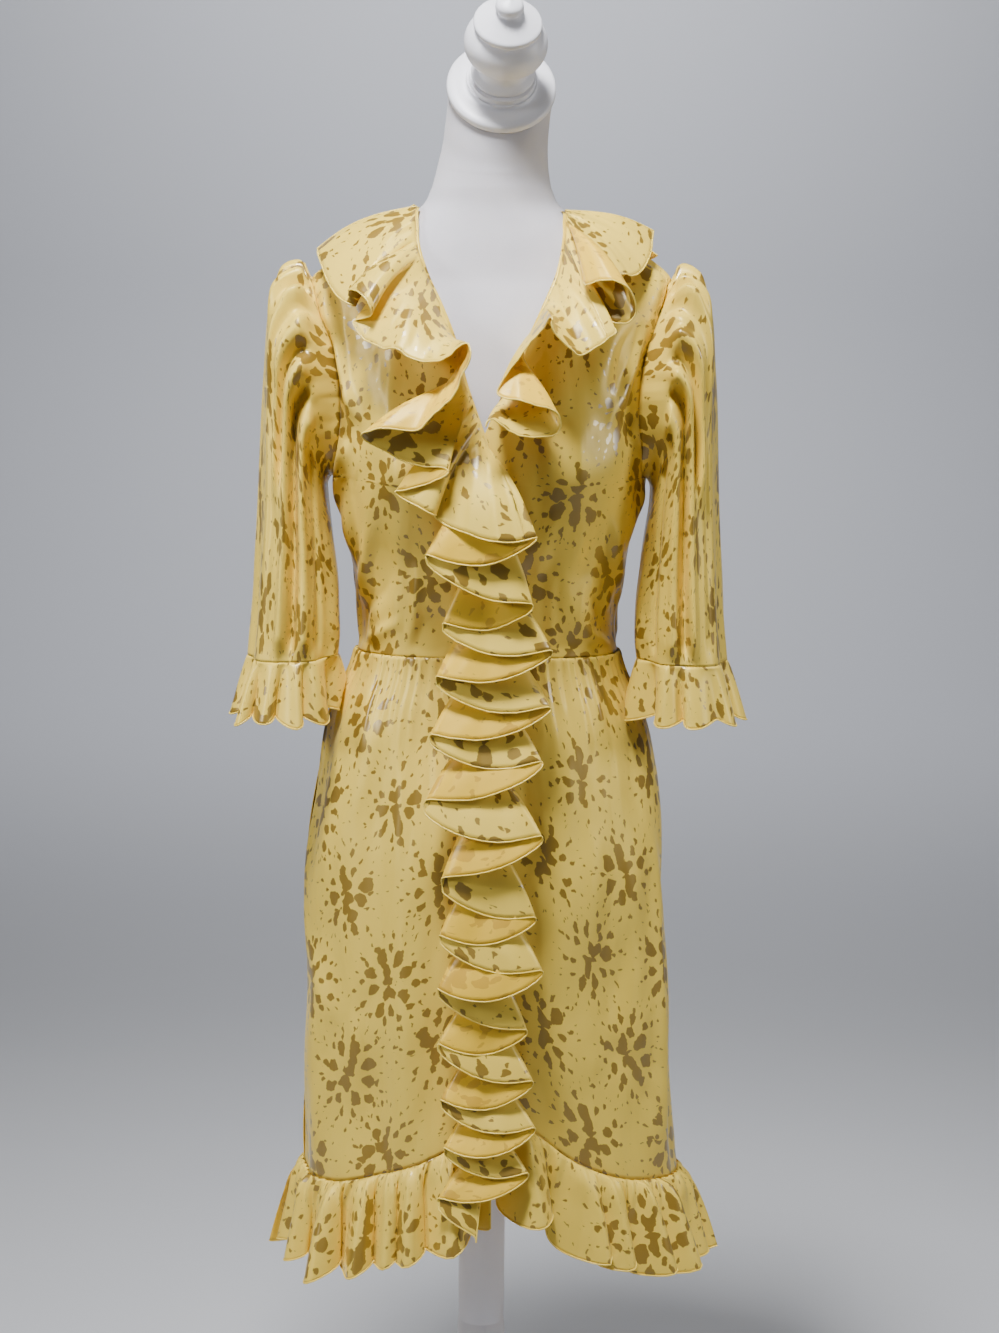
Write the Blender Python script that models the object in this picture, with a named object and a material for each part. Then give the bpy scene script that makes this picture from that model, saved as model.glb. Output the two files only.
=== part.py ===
"""A silk wrap dress worn on a limbless dress form with a turned stand.

Metres, +Z up. The origin is the centre of the base's underside, and the front faces -Y. Right and left
are the wearer's: the wearer's right is at -X. Every piece of cloth is a closed wall of CLOTH thickness.
"""

import math

import bmesh
import bpy
import numpy as np
from mathutils import Matrix, Vector
from mathutils.bvhtree import BVHTree

CLOTH = 0.0011  # thickness of every cloth wall
SEAM = 0.0004  # gap left between two pieces at a seam
FORM_INSET = 0.0009  # the form lies this much inside the surface that the dress is cut to
EASE = 0.0018  # how far the bodice's inner face stands off the form
SHOULDER_EASE = 0.0007  # the same on top of the shoulders, where the dress hangs
LAP = 0.0026  # how far the right front stands out where it laps over the left front

WAIST = 1.015  # height of the waist seam at the sides
WAIST_RISE = 0.006  # how much higher the seam is at the centre front and back
ARMPIT = 1.190
SHOULDER_TIP = 1.386
HIP_BOTTOM = 0.800  # underside of the form

POLE_RADIUS = 0.0242
POLE_JOINT = 0.312  # height where the two turned lengths of the pole meet
BASE_RADIUS = 0.190
BASE_HEIGHT = 0.030
CAP_ROLL = math.radians(6)  # how far the neck cap is lower on the wearer's left


class Table:
    """Rows of named columns, read between the rows along a smooth curve."""

    def __init__(self, columns, *rows):
        self.columns = columns.split()
        self.rows = np.array(sorted(rows), dtype=float)

    def at(self, name, key):
        keys = self.rows[:, 0]
        values = self.rows[:, self.columns.index(name)]
        if key <= keys[0] or len(keys) == 1:
            return float(values[0])
        if key >= keys[-1]:
            return float(values[-1])
        slopes = np.gradient(values, keys)
        i = int(np.searchsorted(keys, key)) - 1
        span = keys[i + 1] - keys[i]
        t = (key - keys[i]) / span
        return float(
            (2 * t**3 - 3 * t**2 + 1) * values[i]
            + (t**3 - 2 * t**2 + t) * span * slopes[i]
            + (3 * t**2 - 2 * t**3) * values[i + 1]
            + (t**3 - t**2) * span * slopes[i + 1]
        )


TORSO_SIDES = 28
TORSO_ROWS = (0.80, 0.83, 0.88, 0.94, 0.99, 1.03, 1.09, 1.15, 1.20, 1.25, 1.30, 1.345, 1.372)
TORSO_ROWS += (1.386, 1.40, 1.42, 1.44, 1.458, 1.475)
TOUCH = 0.0003  # gap between two turned pieces that stand on each other
# Turned outlines as radius and height: the cap and the finial above the neck, the base above the floor
CAP_OUTLINE = (
    (0.0490, 0.0000),
    (0.0545, 0.0015),
    (0.0555, 0.0050),
    (0.0540, 0.0085),
    (0.0480, 0.0105),
    (0.0370, 0.0115),
    (0.0360, 0.0160),
    (0.0340, 0.0165),
    (0.0335, 0.0210),
)
FINIAL_OUTLINE = (
    (0.0300, 0.0213),
    (0.0310, 0.0250),
    (0.0280, 0.0280),
    (0.0245, 0.0310),
    (0.0240, 0.0380),
    (0.0290, 0.0440),
    (0.0370, 0.0520),
    (0.0400, 0.0620),
    (0.0385, 0.0720),
    (0.0330, 0.0810),
    (0.0300, 0.0840),
    (0.0325, 0.0870),
    (0.0320, 0.0910),
    (0.0270, 0.0940),
    (0.0180, 0.0990),
    (0.0120, 0.1040),
    (0.0135, 0.1090),
    (0.0110, 0.1150),
    (0.0000, 0.1185),
)
UPPER_POLE_OUTLINE = (
    (0.0185, POLE_JOINT + 0.0002),
    (0.0215, POLE_JOINT + 0.0030),
    (POLE_RADIUS, POLE_JOINT + 0.0140),
    (POLE_RADIUS, HIP_BOTTOM - 0.0160),
    (0.0340, HIP_BOTTOM - 0.0120),
    (0.0340, HIP_BOTTOM - TOUCH),
)
LOWER_POLE_OUTLINE = (
    (0.0400, BASE_HEIGHT + TOUCH),
    (0.0410, 0.0360),
    (0.0360, 0.0420),
    (0.0280, 0.0500),
    (0.0225, 0.0750),
    (0.0210, 0.1300),
    (0.0225, 0.2000),
    (0.0245, 0.2450),
    (0.0250, 0.2750),
    (0.0235, 0.2950),
    (0.0195, POLE_JOINT - 0.0060),
    (0.0180, POLE_JOINT - 0.0002),
)
BASE_OUTLINE = (
    (BASE_RADIUS - 0.003, 0.0000),
    (BASE_RADIUS, 0.0030),
    (BASE_RADIUS, 0.0130),
    (BASE_RADIUS - 0.003, 0.0180),
    (BASE_RADIUS - 0.012, 0.0210),
    (BASE_RADIUS - 0.016, 0.0245),
    (BASE_RADIUS - 0.030, 0.0285),
    (BASE_RADIUS - 0.045, BASE_HEIGHT),
)

# The form's skin, a row for each level section
FORM = Table(
    "height half_width front back squareness",
    (0.800, 0.150, 0.094, 0.112, 2.1),
    (0.820, 0.158, 0.100, 0.120, 2.1),
    (0.870, 0.161, 0.104, 0.124, 2.1),
    (0.930, 0.152, 0.102, 0.114, 2.1),
    (0.985, 0.136, 0.097, 0.099, 2.1),
    (1.030, 0.1265, 0.094, 0.090, 2.1),
    (1.100, 0.134, 0.104, 0.094, 2.1),
    (1.170, 0.149, 0.113, 0.102, 2.2),
    (1.230, 0.156, 0.115, 0.110, 2.2),
    (1.300, 0.161, 0.106, 0.114, 2.3),
    (1.350, 0.170, 0.090, 0.108, 2.3),
    (1.372, 0.175, 0.078, 0.100, 2.3),
    (1.386, 0.174, 0.070, 0.093, 2.3),
    (1.400, 0.157, 0.065, 0.086, 2.2),
    (1.420, 0.124, 0.059, 0.076, 2.1),
    (1.440, 0.092, 0.053, 0.065, 2.0),
    (1.456, 0.069, 0.049, 0.056, 2.0),
    (1.475, 0.059, 0.047, 0.051, 2.0),
)
BUST = {"apart": 0.084, "height": 1.215, "out": 0.020, "wide": 0.046, "high": 0.058}

# Rings of the neck above the last section, each leaning further forward
NECK = Table(
    "height centre_x centre_y lean half_width half_depth",
    (1.492, 0.001, 0.003, 10, 0.0545, 0.0480),
    (1.512, 0.003, 0.001, 22, 0.0515, 0.0480),
    (1.534, 0.005, -0.002, 34, 0.0505, 0.0500),
    (1.554, 0.007, -0.004, 43, 0.0505, 0.0530),
    (1.566, 0.008, -0.005, 49, 0.0515, 0.0560),
)

# The front edge of each front: V neck, crossing and centre front
RIGHT_EDGE = Table(
    "height x",
    (1.010, 0.004),
    (1.100, 0.006),
    (1.200, 0.005),
    (1.228, 0.001),
    (1.250, -0.007),
    (1.290, -0.021),
    (1.330, -0.032),
    (1.360, -0.045),
    (1.390, -0.059),
    (1.420, -0.068),
    (1.453, -0.068),
)
LEFT_EDGE = Table(
    "height x",
    (1.010, -0.074),
    (1.100, -0.056),
    (1.190, -0.030),
    (1.225, -0.012),
    (1.250, 0.000),
    (1.285, 0.015),
    (1.320, 0.030),
    (1.357, 0.048),
    (1.390, 0.062),
    (1.420, 0.068),
    (1.453, 0.068),
)
# How far from the centre the armhole seam runs, front and back
ARMHOLE = Table(
    "height front back",
    (1.190, 0.1530, 0.1530),
    (1.202, 0.1480, 0.1500),
    (1.225, 0.1455, 0.1490),
    (1.260, 0.1450, 0.1500),
    (1.300, 0.1480, 0.1520),
    (1.335, 0.1550, 0.1570),
    (1.362, 0.1640, 0.1650),
    (1.378, 0.1710, 0.1715),
    (1.386, 0.1755, 0.1755),
)
BODICE_ROWS = (1.015, 1.075, 1.13, 1.175, 1.19, 1.202, 1.225, 1.265, 1.31, 1.345, 1.368, 1.386)
BODICE_ROWS += (1.40, 1.42, 1.438, 1.452)
FRONT_COLUMNS = 8
BACK_COLUMNS = 13

# The sleeve's outline seen from the front: distance from the centre plane and height, outside and inside
SLEEVE = Table(
    "along outer_x outer_z inner_x inner_z half_depth centre_y",
    (0.05, 0.1850, 1.3920, 0.1590, 1.1880, 0.077, 0.004),
    (0.12, 0.1990, 1.3880, 0.1615, 1.1810, 0.077, 0.003),
    (0.24, 0.2170, 1.3620, 0.1610, 1.1660, 0.073, 0.000),
    (0.38, 0.2240, 1.2940, 0.1580, 1.1460, 0.067, -0.004),
    (0.54, 0.2270, 1.2100, 0.1535, 1.1100, 0.063, -0.010),
    (0.70, 0.2300, 1.1300, 0.1495, 1.0740, 0.060, -0.017),
    (0.86, 0.2340, 1.0600, 0.1485, 1.0400, 0.058, -0.024),
    (1.00, 0.2380, 1.0120, 0.1500, 1.0150, 0.055, -0.030),
)
SLEEVE_ROWS = (0.0, 0.05, 0.12, 0.24, 0.38, 0.54, 0.70, 0.86, 1.0)
HEAD_GATHERS = 8  # small folds across the top of each sleeve head
HEAD_SHARE = 0.17  # share of the way round, before and behind the top, that is gathered
UNDER_STEPS = 12  # steps of a sleeve's ring below the gathered head
HEAD_DEPTH = {"out": 0.012, "in": -0.010}  # how far a gather stands out or in, as a share of the ring
SLEEVE_FOLDS = {"count": 6, "depth": 0.045, "turn": 0.7, "ripples": 9, "ripple_depth": 0.020}
CUFF_WAVES = 10
CUFF = {"drop": 0.056, "open": 0.20, "wave": 0.0085, "uneven": 0.35, "shorter": 0.06, "outward": 0.004}
GATHER_DEPTH = 0.0013  # half the height of the waist gathers

# The skirt's outline, to the wearer's right and left, and its depth before and behind
SKIRT = Table(
    "height right left front back",
    (0.4400, 0.188, 0.206, 0.133, 0.135),
    (0.5600, 0.1865, 0.1945, 0.132, 0.134),
    (0.6550, 0.1845, 0.1890, 0.131, 0.134),
    (0.7600, 0.1830, 0.1850, 0.129, 0.134),
    (0.8590, 0.1737, 0.1760, 0.124, 0.134),
    (0.9000, 0.1680, 0.1700, 0.120, 0.130),
    (0.9400, 0.1600, 0.1610, 0.114, 0.122),
    (0.9750, 0.1490, 0.1480, 0.107, 0.110),
    (0.9950, 0.1400, 0.1400, 0.103, 0.102),
    (1.0180, 0.1315, 0.1315, 0.098, 0.0955),
)
SKIRT_ROWS = (0.0, 0.035, 0.09, 0.2, 0.42, 0.70, 1.0)  # share of the way from the waist to the hem seam
# The hem seam by distance from the centre: each front rises in a petal corner
HEM_RIGHT = Table(
    "x height",
    (-0.190, 0.467),
    (-0.150, 0.477),
    (-0.100, 0.497),
    (-0.060, 0.516),
    (-0.035, 0.531),
    (0.010, 0.553),
)
HEM_LEFT = Table(
    "x height",
    (-0.075, 0.600),
    (0.000, 0.578),
    (0.053, 0.548),
    (0.090, 0.517),
    (0.140, 0.489),
    (0.205, 0.466),
)
HEM_BACK = 0.4665
FLOUNCE_DROP = 0.088  # length of the hem flounce
HEM_WAVES = {"right": 6, "left": 6, "back": 9}
PANEL_COLUMNS = {"right": 32, "left": 32, "back": 44}  # a gather stands on every second one
FLOUNCE_WAVE = 0.0125  # half the depth of its folds at the lower edge
FLOUNCE_FLARE = 0.020  # how far its lower edge stands out
# Long soft folds of the skirt: compass angle on the waist in degrees, how far out, and how wide
SKIRT_FOLDS = (
    (-64, 0.0045, 9),
    (-38, -0.0035, 8),
    (-22, 0.0030, 7),
    (24, 0.0030, 7),
    (47, -0.0040, 9),
    (69, 0.0060, 6),
    (112, -0.0040, 10),
    (138, 0.0050, 9),
    (165, -0.0035, 9),
    (190, 0.0045, 10),
    (218, -0.0040, 9),
    (243, 0.0050, 9),
)

# A ruffle's folds, one row each: height of the fold on the seam, then where its tip lies and how far
# the tip stands before the wearer's centre plane
FRONT_RUFFLE = Table(
    "seam tip_x tip_height tip_out",
    (1.4510, -0.171, 1.414, 0.005),
    (1.4420, -0.163, 1.397, 0.052),
    (1.4300, -0.144, 1.368, 0.092),
    (1.4220, -0.128, 1.362, 0.096),
    (1.4160, -0.133, 1.374, 0.108),
    (1.4090, -0.112, 1.360, 0.132),
    (1.4000, -0.128, 1.345, 0.114),
    (1.3880, -0.113, 1.328, 0.130),
    (1.3720, -0.089, 1.322, 0.150),
    (1.3530, -0.064, 1.313, 0.160),
    (1.3340, -0.037, 1.317, 0.168),
    (1.3220, -0.020, 1.326, 0.173),
    (1.3110, -0.028, 1.304, 0.177),
    (1.2930, -0.116, 1.240, 0.172),
    (1.2790, -0.020, 1.230, 0.180),
    (1.2580, -0.089, 1.182, 0.162),
    (1.2310, 0.046, 1.148, 0.170),
    (1.1970, -0.058, 1.127, 0.160),
    (1.1670, 0.044, 1.082, 0.162),
    (1.1370, -0.042, 1.061, 0.150),
    (1.1080, 0.062, 1.036, 0.148),
    (1.0790, -0.048, 1.008, 0.146),
    (1.0500, 0.062, 0.981, 0.145),
    (1.0210, -0.053, 0.950, 0.148),
    (0.9920, 0.055, 0.928, 0.150),
    (0.9570, -0.058, 0.884, 0.153),
    (0.9200, 0.056, 0.856, 0.158),
    (0.8870, -0.040, 0.808, 0.160),
    (0.8560, 0.050, 0.776, 0.160),
    (0.8260, -0.042, 0.757, 0.160),
    (0.7960, 0.058, 0.724, 0.162),
    (0.7660, -0.043, 0.704, 0.162),
    (0.7360, 0.043, 0.664, 0.164),
    (0.7060, -0.044, 0.650, 0.164),
    (0.6760, 0.049, 0.612, 0.165),
    (0.6460, -0.040, 0.592, 0.166),
    (0.6180, 0.052, 0.566, 0.168),
    (0.5900, -0.036, 0.544, 0.168),
    (0.5640, 0.046, 0.520, 0.170),
    (0.5380, -0.042, 0.490, 0.172),
    (0.5100, 0.000, 0.440, 0.186),
)
LEFT_NECK_FLOUNCE = Table(
    "seam tip_x tip_height tip_out",
    (1.4505, 0.159, 1.433, 0.004),
    (1.4430, 0.155, 1.413, 0.038),
    (1.4330, 0.142, 1.394, 0.068),
    (1.4200, 0.112, 1.389, 0.105),
    (1.4080, 0.116, 1.384, 0.134),
    (1.3970, 0.135, 1.360, 0.130),
    (1.3900, 0.119, 1.339, 0.140),
    (1.3740, 0.085, 1.319, 0.160),
    (1.3540, 0.057, 1.351, 0.171),
    (1.3440, 0.036, 1.326, 0.155),
    (1.3290, 0.010, 1.287, 0.163),
    (1.3180, 0.037, 1.275, 0.172),
    (1.3040, 0.067, 1.255, 0.160),
    (1.2870, 0.029, 1.244, 0.168),
    (1.2660, -0.002, 1.253, 0.178),
)
FOLD_STEPS = (0.14, 0.38, 0.62, 0.86)  # shares of the way from one fold to the next that get a ruling
ACROSS = 3  # faces from a ruffle's seam to its free edge
STAND = 0.004  # how far a ruffle's free edge stays off the dress
SAG = 10  # degrees by which a ruffle droops more where it swings across
BULGE = 0.10  # how far a ruling bends upwards half-way along, as a share of its length
# The back flounce: height of its seam, width, and by how many degrees and metres its waves swing and lift
BACK_NECK = {"seam": 1.4505, "reach": 0.098, "waves": 5, "swing": 13.0, "lift": 0.012}
BACK_NECK_ENDS = (96, 264)  # compass angles of its two ends, just behind the shoulder seams


def section_point(theta, height):
    """The form's skin at a compass angle (0 is the front, 90 degrees the wearer's left) and a height."""
    power = 2.0 / FORM.at("squareness", height)
    s, c = math.sin(theta), math.cos(theta)
    x = math.copysign(abs(s) ** power, s) * FORM.at("half_width", height)
    y = -math.copysign(abs(c) ** power, c) * FORM.at("front" if c > 0 else "back", height)
    if c > 0:
        across = (abs(x) - BUST["apart"]) / BUST["wide"]
        above = (height - BUST["height"]) / BUST["high"]
        y -= BUST["out"] * math.exp(-(across**2) - above**2) * c**0.5
    return Vector((x, y, height))


def skin_normal(theta, height):
    step = 0.004
    around = section_point(theta + step, height) - section_point(theta - step, height)
    up = section_point(theta, height + step) - section_point(theta, height - step)
    return around.cross(up).normalized()


def on_form(theta, height, out):
    return section_point(theta, height) + skin_normal(theta, height) * out


def angle_at(x, height, behind=False):
    """The compass angle at which the skin is x from the centre plane."""
    share = min(1.0, abs(x) / FORM.at("half_width", height))
    angle = math.asin(share ** (FORM.at("squareness", height) / 2.0))
    angle = math.pi - angle if behind else angle
    return math.copysign(angle, x)


def fade(value, low, high):
    """0 below low, 1 above high, smooth between."""
    t = min(1.0, max(0.0, (value - low) / (high - low)))
    return t * t * (3 - 2 * t)


def cloth_out(height):
    """How far the bodice's outer face stands off the form."""
    return CLOTH + EASE + (SHOULDER_EASE - EASE) * fade(height, 1.36, 1.42)


def waist_height(theta):
    return WAIST + WAIST_RISE * math.cos(theta) ** 2


def lap_out(x):
    """The right front steps out over the left front."""
    return LAP * fade(x, -0.105, -0.082)


def grid_normals(grid, closed):
    """A normal at each point of a grid of rows and columns, longer where the cloth turns a tight corner."""
    rows, columns = len(grid), len(grid[0])
    normals = []
    for r in range(rows):
        line = []
        for c in range(columns):
            point = grid[r][c]
            left = grid[r][c - 1] if closed or c else point
            right = grid[r][(c + 1) % columns] if closed or c + 1 < columns else point
            up = grid[min(r + 1, rows - 1)][c] - grid[max(r - 1, 0)][c]
            sides = [side.cross(up).normalized() for side in (point - left, right - point) if side.length]
            both = sum(sides, Vector())
            line.append(both.normalized() / max(both.length / len(sides), 0.6))
        normals.append(line)
    return normals


def away_from_axis(point):
    return Vector((point.x / 1.7, point.y, 0)).normalized()


def wall(name, grid, material, closed=False, inward=1.0, centred=False, side_seams=False):
    """A closed wall of cloth on a grid. Its second face lies inward, or the grid is half-way between both."""
    normals = grid_normals(grid, closed)
    if side_seams:
        for line, line_normals in zip(grid, normals):
            for end in (0, -1):
                line_normals[end] = away_from_axis(line[end])
    if centred:
        # a ruffle's cloth turns round sharply at its seam, so its thickness there runs as it does further out
        normals[0] = [(a + b) / 2 for a, b in zip(normals[0], normals[1])]
    front = 0.5 * CLOTH if centred else 0.0
    back = front - CLOTH
    rows, columns = len(grid), len(grid[0])
    mesh = bmesh.new()
    faces = []
    for offset in (front, back):
        faces.append(
            [
                [mesh.verts.new(p + n * offset * inward) for p, n in zip(line, line_normals)]
                for line, line_normals in zip(grid, normals)
            ]
        )
    outer, inner = faces
    wrap = columns if closed else columns - 1
    for r in range(rows - 1):
        for c in range(wrap):
            d = (c + 1) % columns
            mesh.faces.new((outer[r][c], outer[r][d], outer[r + 1][d], outer[r + 1][c]))
            mesh.faces.new((inner[r][c], inner[r + 1][c], inner[r + 1][d], inner[r][d]))
    for r in (0, rows - 1):
        for c in range(wrap):
            d = (c + 1) % columns
            mesh.faces.new((outer[r][c], inner[r][c], inner[r][d], outer[r][d]))
    if not closed:
        for c in (0, columns - 1):
            for r in range(rows - 1):
                mesh.faces.new((outer[r][c], outer[r + 1][c], inner[r + 1][c], inner[r][c]))
    return solid(name, mesh, material)


def solid(name, mesh, material):
    # the faces are split here, so that two walls that lie close keep the gap between them everywhere
    bmesh.ops.triangulate(mesh, faces=mesh.faces)
    bmesh.ops.recalc_face_normals(mesh, faces=mesh.faces)
    data = bpy.data.meshes.new(name)
    mesh.to_mesh(data)
    mesh.free()
    data.materials.append(material)
    data.shade_smooth()
    data.set_sharp_from_angle(angle=math.radians(50))
    thing = bpy.data.objects.new(name, data)
    bpy.context.collection.objects.link(thing)
    return thing


def lathe(name, profile, material, sides=24, place=None):
    """A turned piece from (radius, height) pairs. A radius of 0 at an end closes it in a point."""
    mesh = bmesh.new()
    rings = []
    for radius, height in profile:
        if radius == 0:
            rings.append([mesh.verts.new((0, 0, height))])
            continue
        turn = [2 * math.pi * k / sides for k in range(sides)]
        rings.append([mesh.verts.new((radius * math.sin(a), -radius * math.cos(a), height)) for a in turn])
    for low, high in zip(rings, rings[1:]):
        for k in range(sides):
            n = (k + 1) % sides
            if len(low) == 1:
                mesh.faces.new((low[0], high[n], high[k]))
            elif len(high) == 1:
                mesh.faces.new((low[k], low[n], high[0]))
            else:
                mesh.faces.new((low[k], low[n], high[n], high[k]))
    for end in (rings[0], rings[-1]):
        if len(end) > 1:
            mesh.faces.new(end)
    if place is not None:
        mesh.transform(place)
    return solid(name, mesh, material)


def finish(name, colour, roughness, metallic=0.0):
    material = bpy.data.materials.new(name)
    material.use_nodes = True
    shader = material.node_tree.nodes["Principled BSDF"]
    shader.inputs["Base Color"].default_value = (*colour, 1.0)
    shader.inputs["Roughness"].default_value = roughness
    shader.inputs["Metallic"].default_value = metallic
    return material


def neck_place(height):
    """Where the neck's ring at a height lies: it leans forward, and a little to the wearer's left."""
    lean = NECK.at("lean", height)
    middle = Vector((NECK.at("centre_x", height), NECK.at("centre_y", height), height))
    roll = Matrix.Rotation(CAP_ROLL * lean / NECK.rows[-1][3], 4, "Y")
    return Matrix.Translation(middle) @ roll @ Matrix.Rotation(math.radians(lean), 4, "X")


def make_torso(jersey):
    """The form's torso and neck: level sections, then neck rings that lean forward to the cap."""
    turn = [2 * math.pi * k / TORSO_SIDES for k in range(TORSO_SIDES)]
    mesh = bmesh.new()
    rings = [[on_form(a, height, -FORM_INSET) for a in turn] for height in TORSO_ROWS]
    for height, _, _, _, half_width, half_depth in NECK.rows:
        place = neck_place(height)
        oval = [Vector((half_width * math.sin(a), -half_depth * math.cos(a), 0)) for a in turn]
        rings.append([place @ point for point in oval])
    rings = [[mesh.verts.new(p) for p in ring] for ring in rings]
    for low, high in zip(rings, rings[1:]):
        for k in range(TORSO_SIDES):
            n = (k + 1) % TORSO_SIDES
            mesh.faces.new((low[k], low[n], high[n], high[k]))
    mesh.faces.new(rings[0])
    mesh.faces.new(rings[-1])
    return solid("form_torso", mesh, jersey)


def make_stand(wood):
    """Neck cap, finial, pole and base, all turned."""
    on_neck = neck_place(NECK.rows[-1][0]) @ Matrix.Translation((0, 0, TOUCH))
    oval = Matrix.Diagonal((0.96, 1.04, 1.0, 1.0))
    lathe("form_neck_cap", CAP_OUTLINE, wood, 24, on_neck @ oval)
    lathe("form_finial", FINIAL_OUTLINE, wood, 16, on_neck)
    lathe("form_pole_upper", UPPER_POLE_OUTLINE, wood, 20)
    lathe("form_pole_lower", LOWER_POLE_OUTLINE, wood, 20)
    lathe("form_base", BASE_OUTLINE, wood, 32)


def bodice_side(height, side, behind=False):
    """The compass angle where a bodice piece ends at a height: side seam, armhole or shoulder seam."""
    if ARMPIT - 0.001 <= height <= SHOULDER_TIP:
        angle = angle_at(ARMHOLE.at("back" if behind else "front", height), height, behind)
    else:
        angle = math.pi / 2
    slip = 0.5 * SEAM / FORM.at("front", height)
    return side * (angle + slip if behind else angle - slip)


def bodice_point(theta, row_height, lapped):
    """A point of the bodice's outer face. The lowest rows follow the waist seam."""
    height = row_height + (waist_height(theta) - WAIST) * (1 - fade(row_height, WAIST, 1.12))
    out = cloth_out(height)
    if lapped:
        out += lap_out(section_point(theta, height).x)
    return on_form(theta, height, out)


def make_bodice(silk):
    """The three bodice pieces. Returns their grids."""
    grids = {}
    for name, edge, side, lapped in (("right", RIGHT_EDGE, -1, True), ("left", LEFT_EDGE, 1, False)):
        grid = []
        for height in BODICE_ROWS:
            start, end = angle_at(edge.at("x", height), height), bodice_side(height, side)
            shares = [k / FRONT_COLUMNS for k in range(FRONT_COLUMNS + 1)]
            line = [bodice_point(start + (end - start) * share, height, lapped) for share in shares]
            grid.append(line[::side])
        grids[name] = grid
        wall(f"bodice_{name}_front", grids[name], silk)
    grid = []
    for height in BODICE_ROWS:
        start, end = bodice_side(height, 1, True), 2 * math.pi + bodice_side(height, -1, True)
        shares = [k / BACK_COLUMNS for k in range(BACK_COLUMNS + 1)]
        grid.append([bodice_point(start + (end - start) * share, height, False) for share in shares])
    grids["back"] = grid
    wall("bodice_back", grid, silk)
    return grids


def armhole_loop(grids, side, shares):
    """Points on the bodice's own edges: from the shoulder tip down the armhole's front and up its back."""
    rows = [r for r, height in enumerate(BODICE_ROWS) if ARMPIT - 0.001 <= height <= SHOULDER_TIP + 0.001]
    front = grids["left" if side > 0 else "right"]
    column = -1 if side > 0 else 0
    down = [front[r][column] for r in reversed(rows)]
    back_column = 0 if side > 0 else -1
    up = [grids["back"][r][back_column] for r in rows]
    loop = down + up
    lengths = [0.0]
    for a, b in zip(loop, loop[1:]):
        lengths.append(lengths[-1] + (b - a).length)
    points = []
    for share in shares:
        target = share * lengths[-1]
        i = max(1, min(int(np.searchsorted(lengths, target)), len(loop) - 1))
        t = (target - lengths[i - 1]) / max(lengths[i] - lengths[i - 1], 1e-9)
        points.append(loop[i - 1].lerp(loop[i], t))
    return points


def sleeve_shares():
    """Shares of the way round the sleeve: close together over the gathered head, wide apart below."""
    head = [HEAD_SHARE * k / HEAD_GATHERS for k in range(HEAD_GATHERS)]
    under = [HEAD_SHARE + (1 - 2 * HEAD_SHARE) * k / UNDER_STEPS for k in range(UNDER_STEPS)]
    rest = [1 - HEAD_SHARE + HEAD_SHARE * k / HEAD_GATHERS for k in range(HEAD_GATHERS)]
    return head + under + rest


def sleeve_ring(along, side, shares):
    centre_y = SLEEVE.at("centre_y", along)
    outer = Vector((side * SLEEVE.at("outer_x", along), centre_y, SLEEVE.at("outer_z", along)))
    inner = Vector((side * SLEEVE.at("inner_x", along), centre_y, SLEEVE.at("inner_z", along)))
    depth = SLEEVE.at("half_depth", along)
    middle = (outer + inner) / 2
    reach = (outer - inner) / 2
    ring = []
    for k, share in enumerate(shares):
        a = 2 * math.pi * share
        folds = SLEEVE_FOLDS["depth"] * math.cos(SLEEVE_FOLDS["count"] * a + SLEEVE_FOLDS["turn"])
        ripples = SLEEVE_FOLDS["ripple_depth"] * math.cos(SLEEVE_FOLDS["ripples"] * a)
        swell = 1 + folds * fade(along, 0.15, 0.60) + ripples * fade(along, 0.30, 0.90)
        if math.cos(a) > 0.4:
            swell += HEAD_DEPTH["out" if k % 2 else "in"] * (1 - fade(along, 0.08, 0.28))
        ring.append(middle + reach * math.cos(a) * swell + Vector((0, -depth * math.sin(a) * swell, 0)))
    return ring


def make_sleeve(name, side, grids, silk):
    shares = sleeve_shares()
    loop = armhole_loop(grids, side, shares)
    first = [p + Vector((side * SEAM, 0, SEAM * math.cos(2 * math.pi * s))) for p, s in zip(loop, shares)]
    grid = [first] + [sleeve_ring(along, side, shares) for along in SLEEVE_ROWS[1:]]
    wall(f"sleeve_{name}", grid, silk, closed=True, inward=side)
    return grid


def make_cuff(name, side, tree, silk):
    """The ruffle below the cuff seam: waves that open towards its lower edge, and lie against the skirt."""
    columns = 4 * CUFF_WAVES
    shares = [k / columns for k in range(columns)]
    top = sleeve_ring(1.0, side, shares)
    middle = sum(top, Vector()) / columns
    grid = []
    for part in (0.0, 0.35, 1.0):
        line = []
        for k, point in enumerate(top):
            away = (point - middle) * (1 + CUFF["open"] * part)
            wave = math.sin(2 * math.pi * k / 4 + 0.5)
            uneven = 1 + CUFF["uneven"] * math.sin(3.1 * k)
            ripple = away.normalized() * (CUFF["wave"] * part * wave * uneven)
            drop = SEAM + CLOTH * 0.2 + CUFF["drop"] * part * (1 - CUFF["shorter"] * wave)
            point = middle + away + ripple + Vector((side * CUFF["outward"] * part, 0, -drop))
            clear = CLOTH + 0.002 + 0.003 * part * (1 - wave)
            line.append(keep_off(point, tree, clear) if part else point)
        grid.append(line)
    wall(f"cuff_ruffle_{name}", grid, silk, closed=True, inward=side)
    return grid


def skirt_base(theta, height):
    """The skirt's smooth surface, before its gathers and folds."""
    s, c = math.sin(theta), math.cos(theta)
    x = s * SKIRT.at("left" if s > 0 else "right", height)
    y = -c * SKIRT.at("front" if c > 0 else "back", height)
    free = fade(waist_height(theta) - height, 0.0, 0.05)
    if free == 1:
        return Vector((x, y, height))
    return on_form(theta, height, cloth_out(height)).lerp(Vector((x, y, height)), free)


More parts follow.
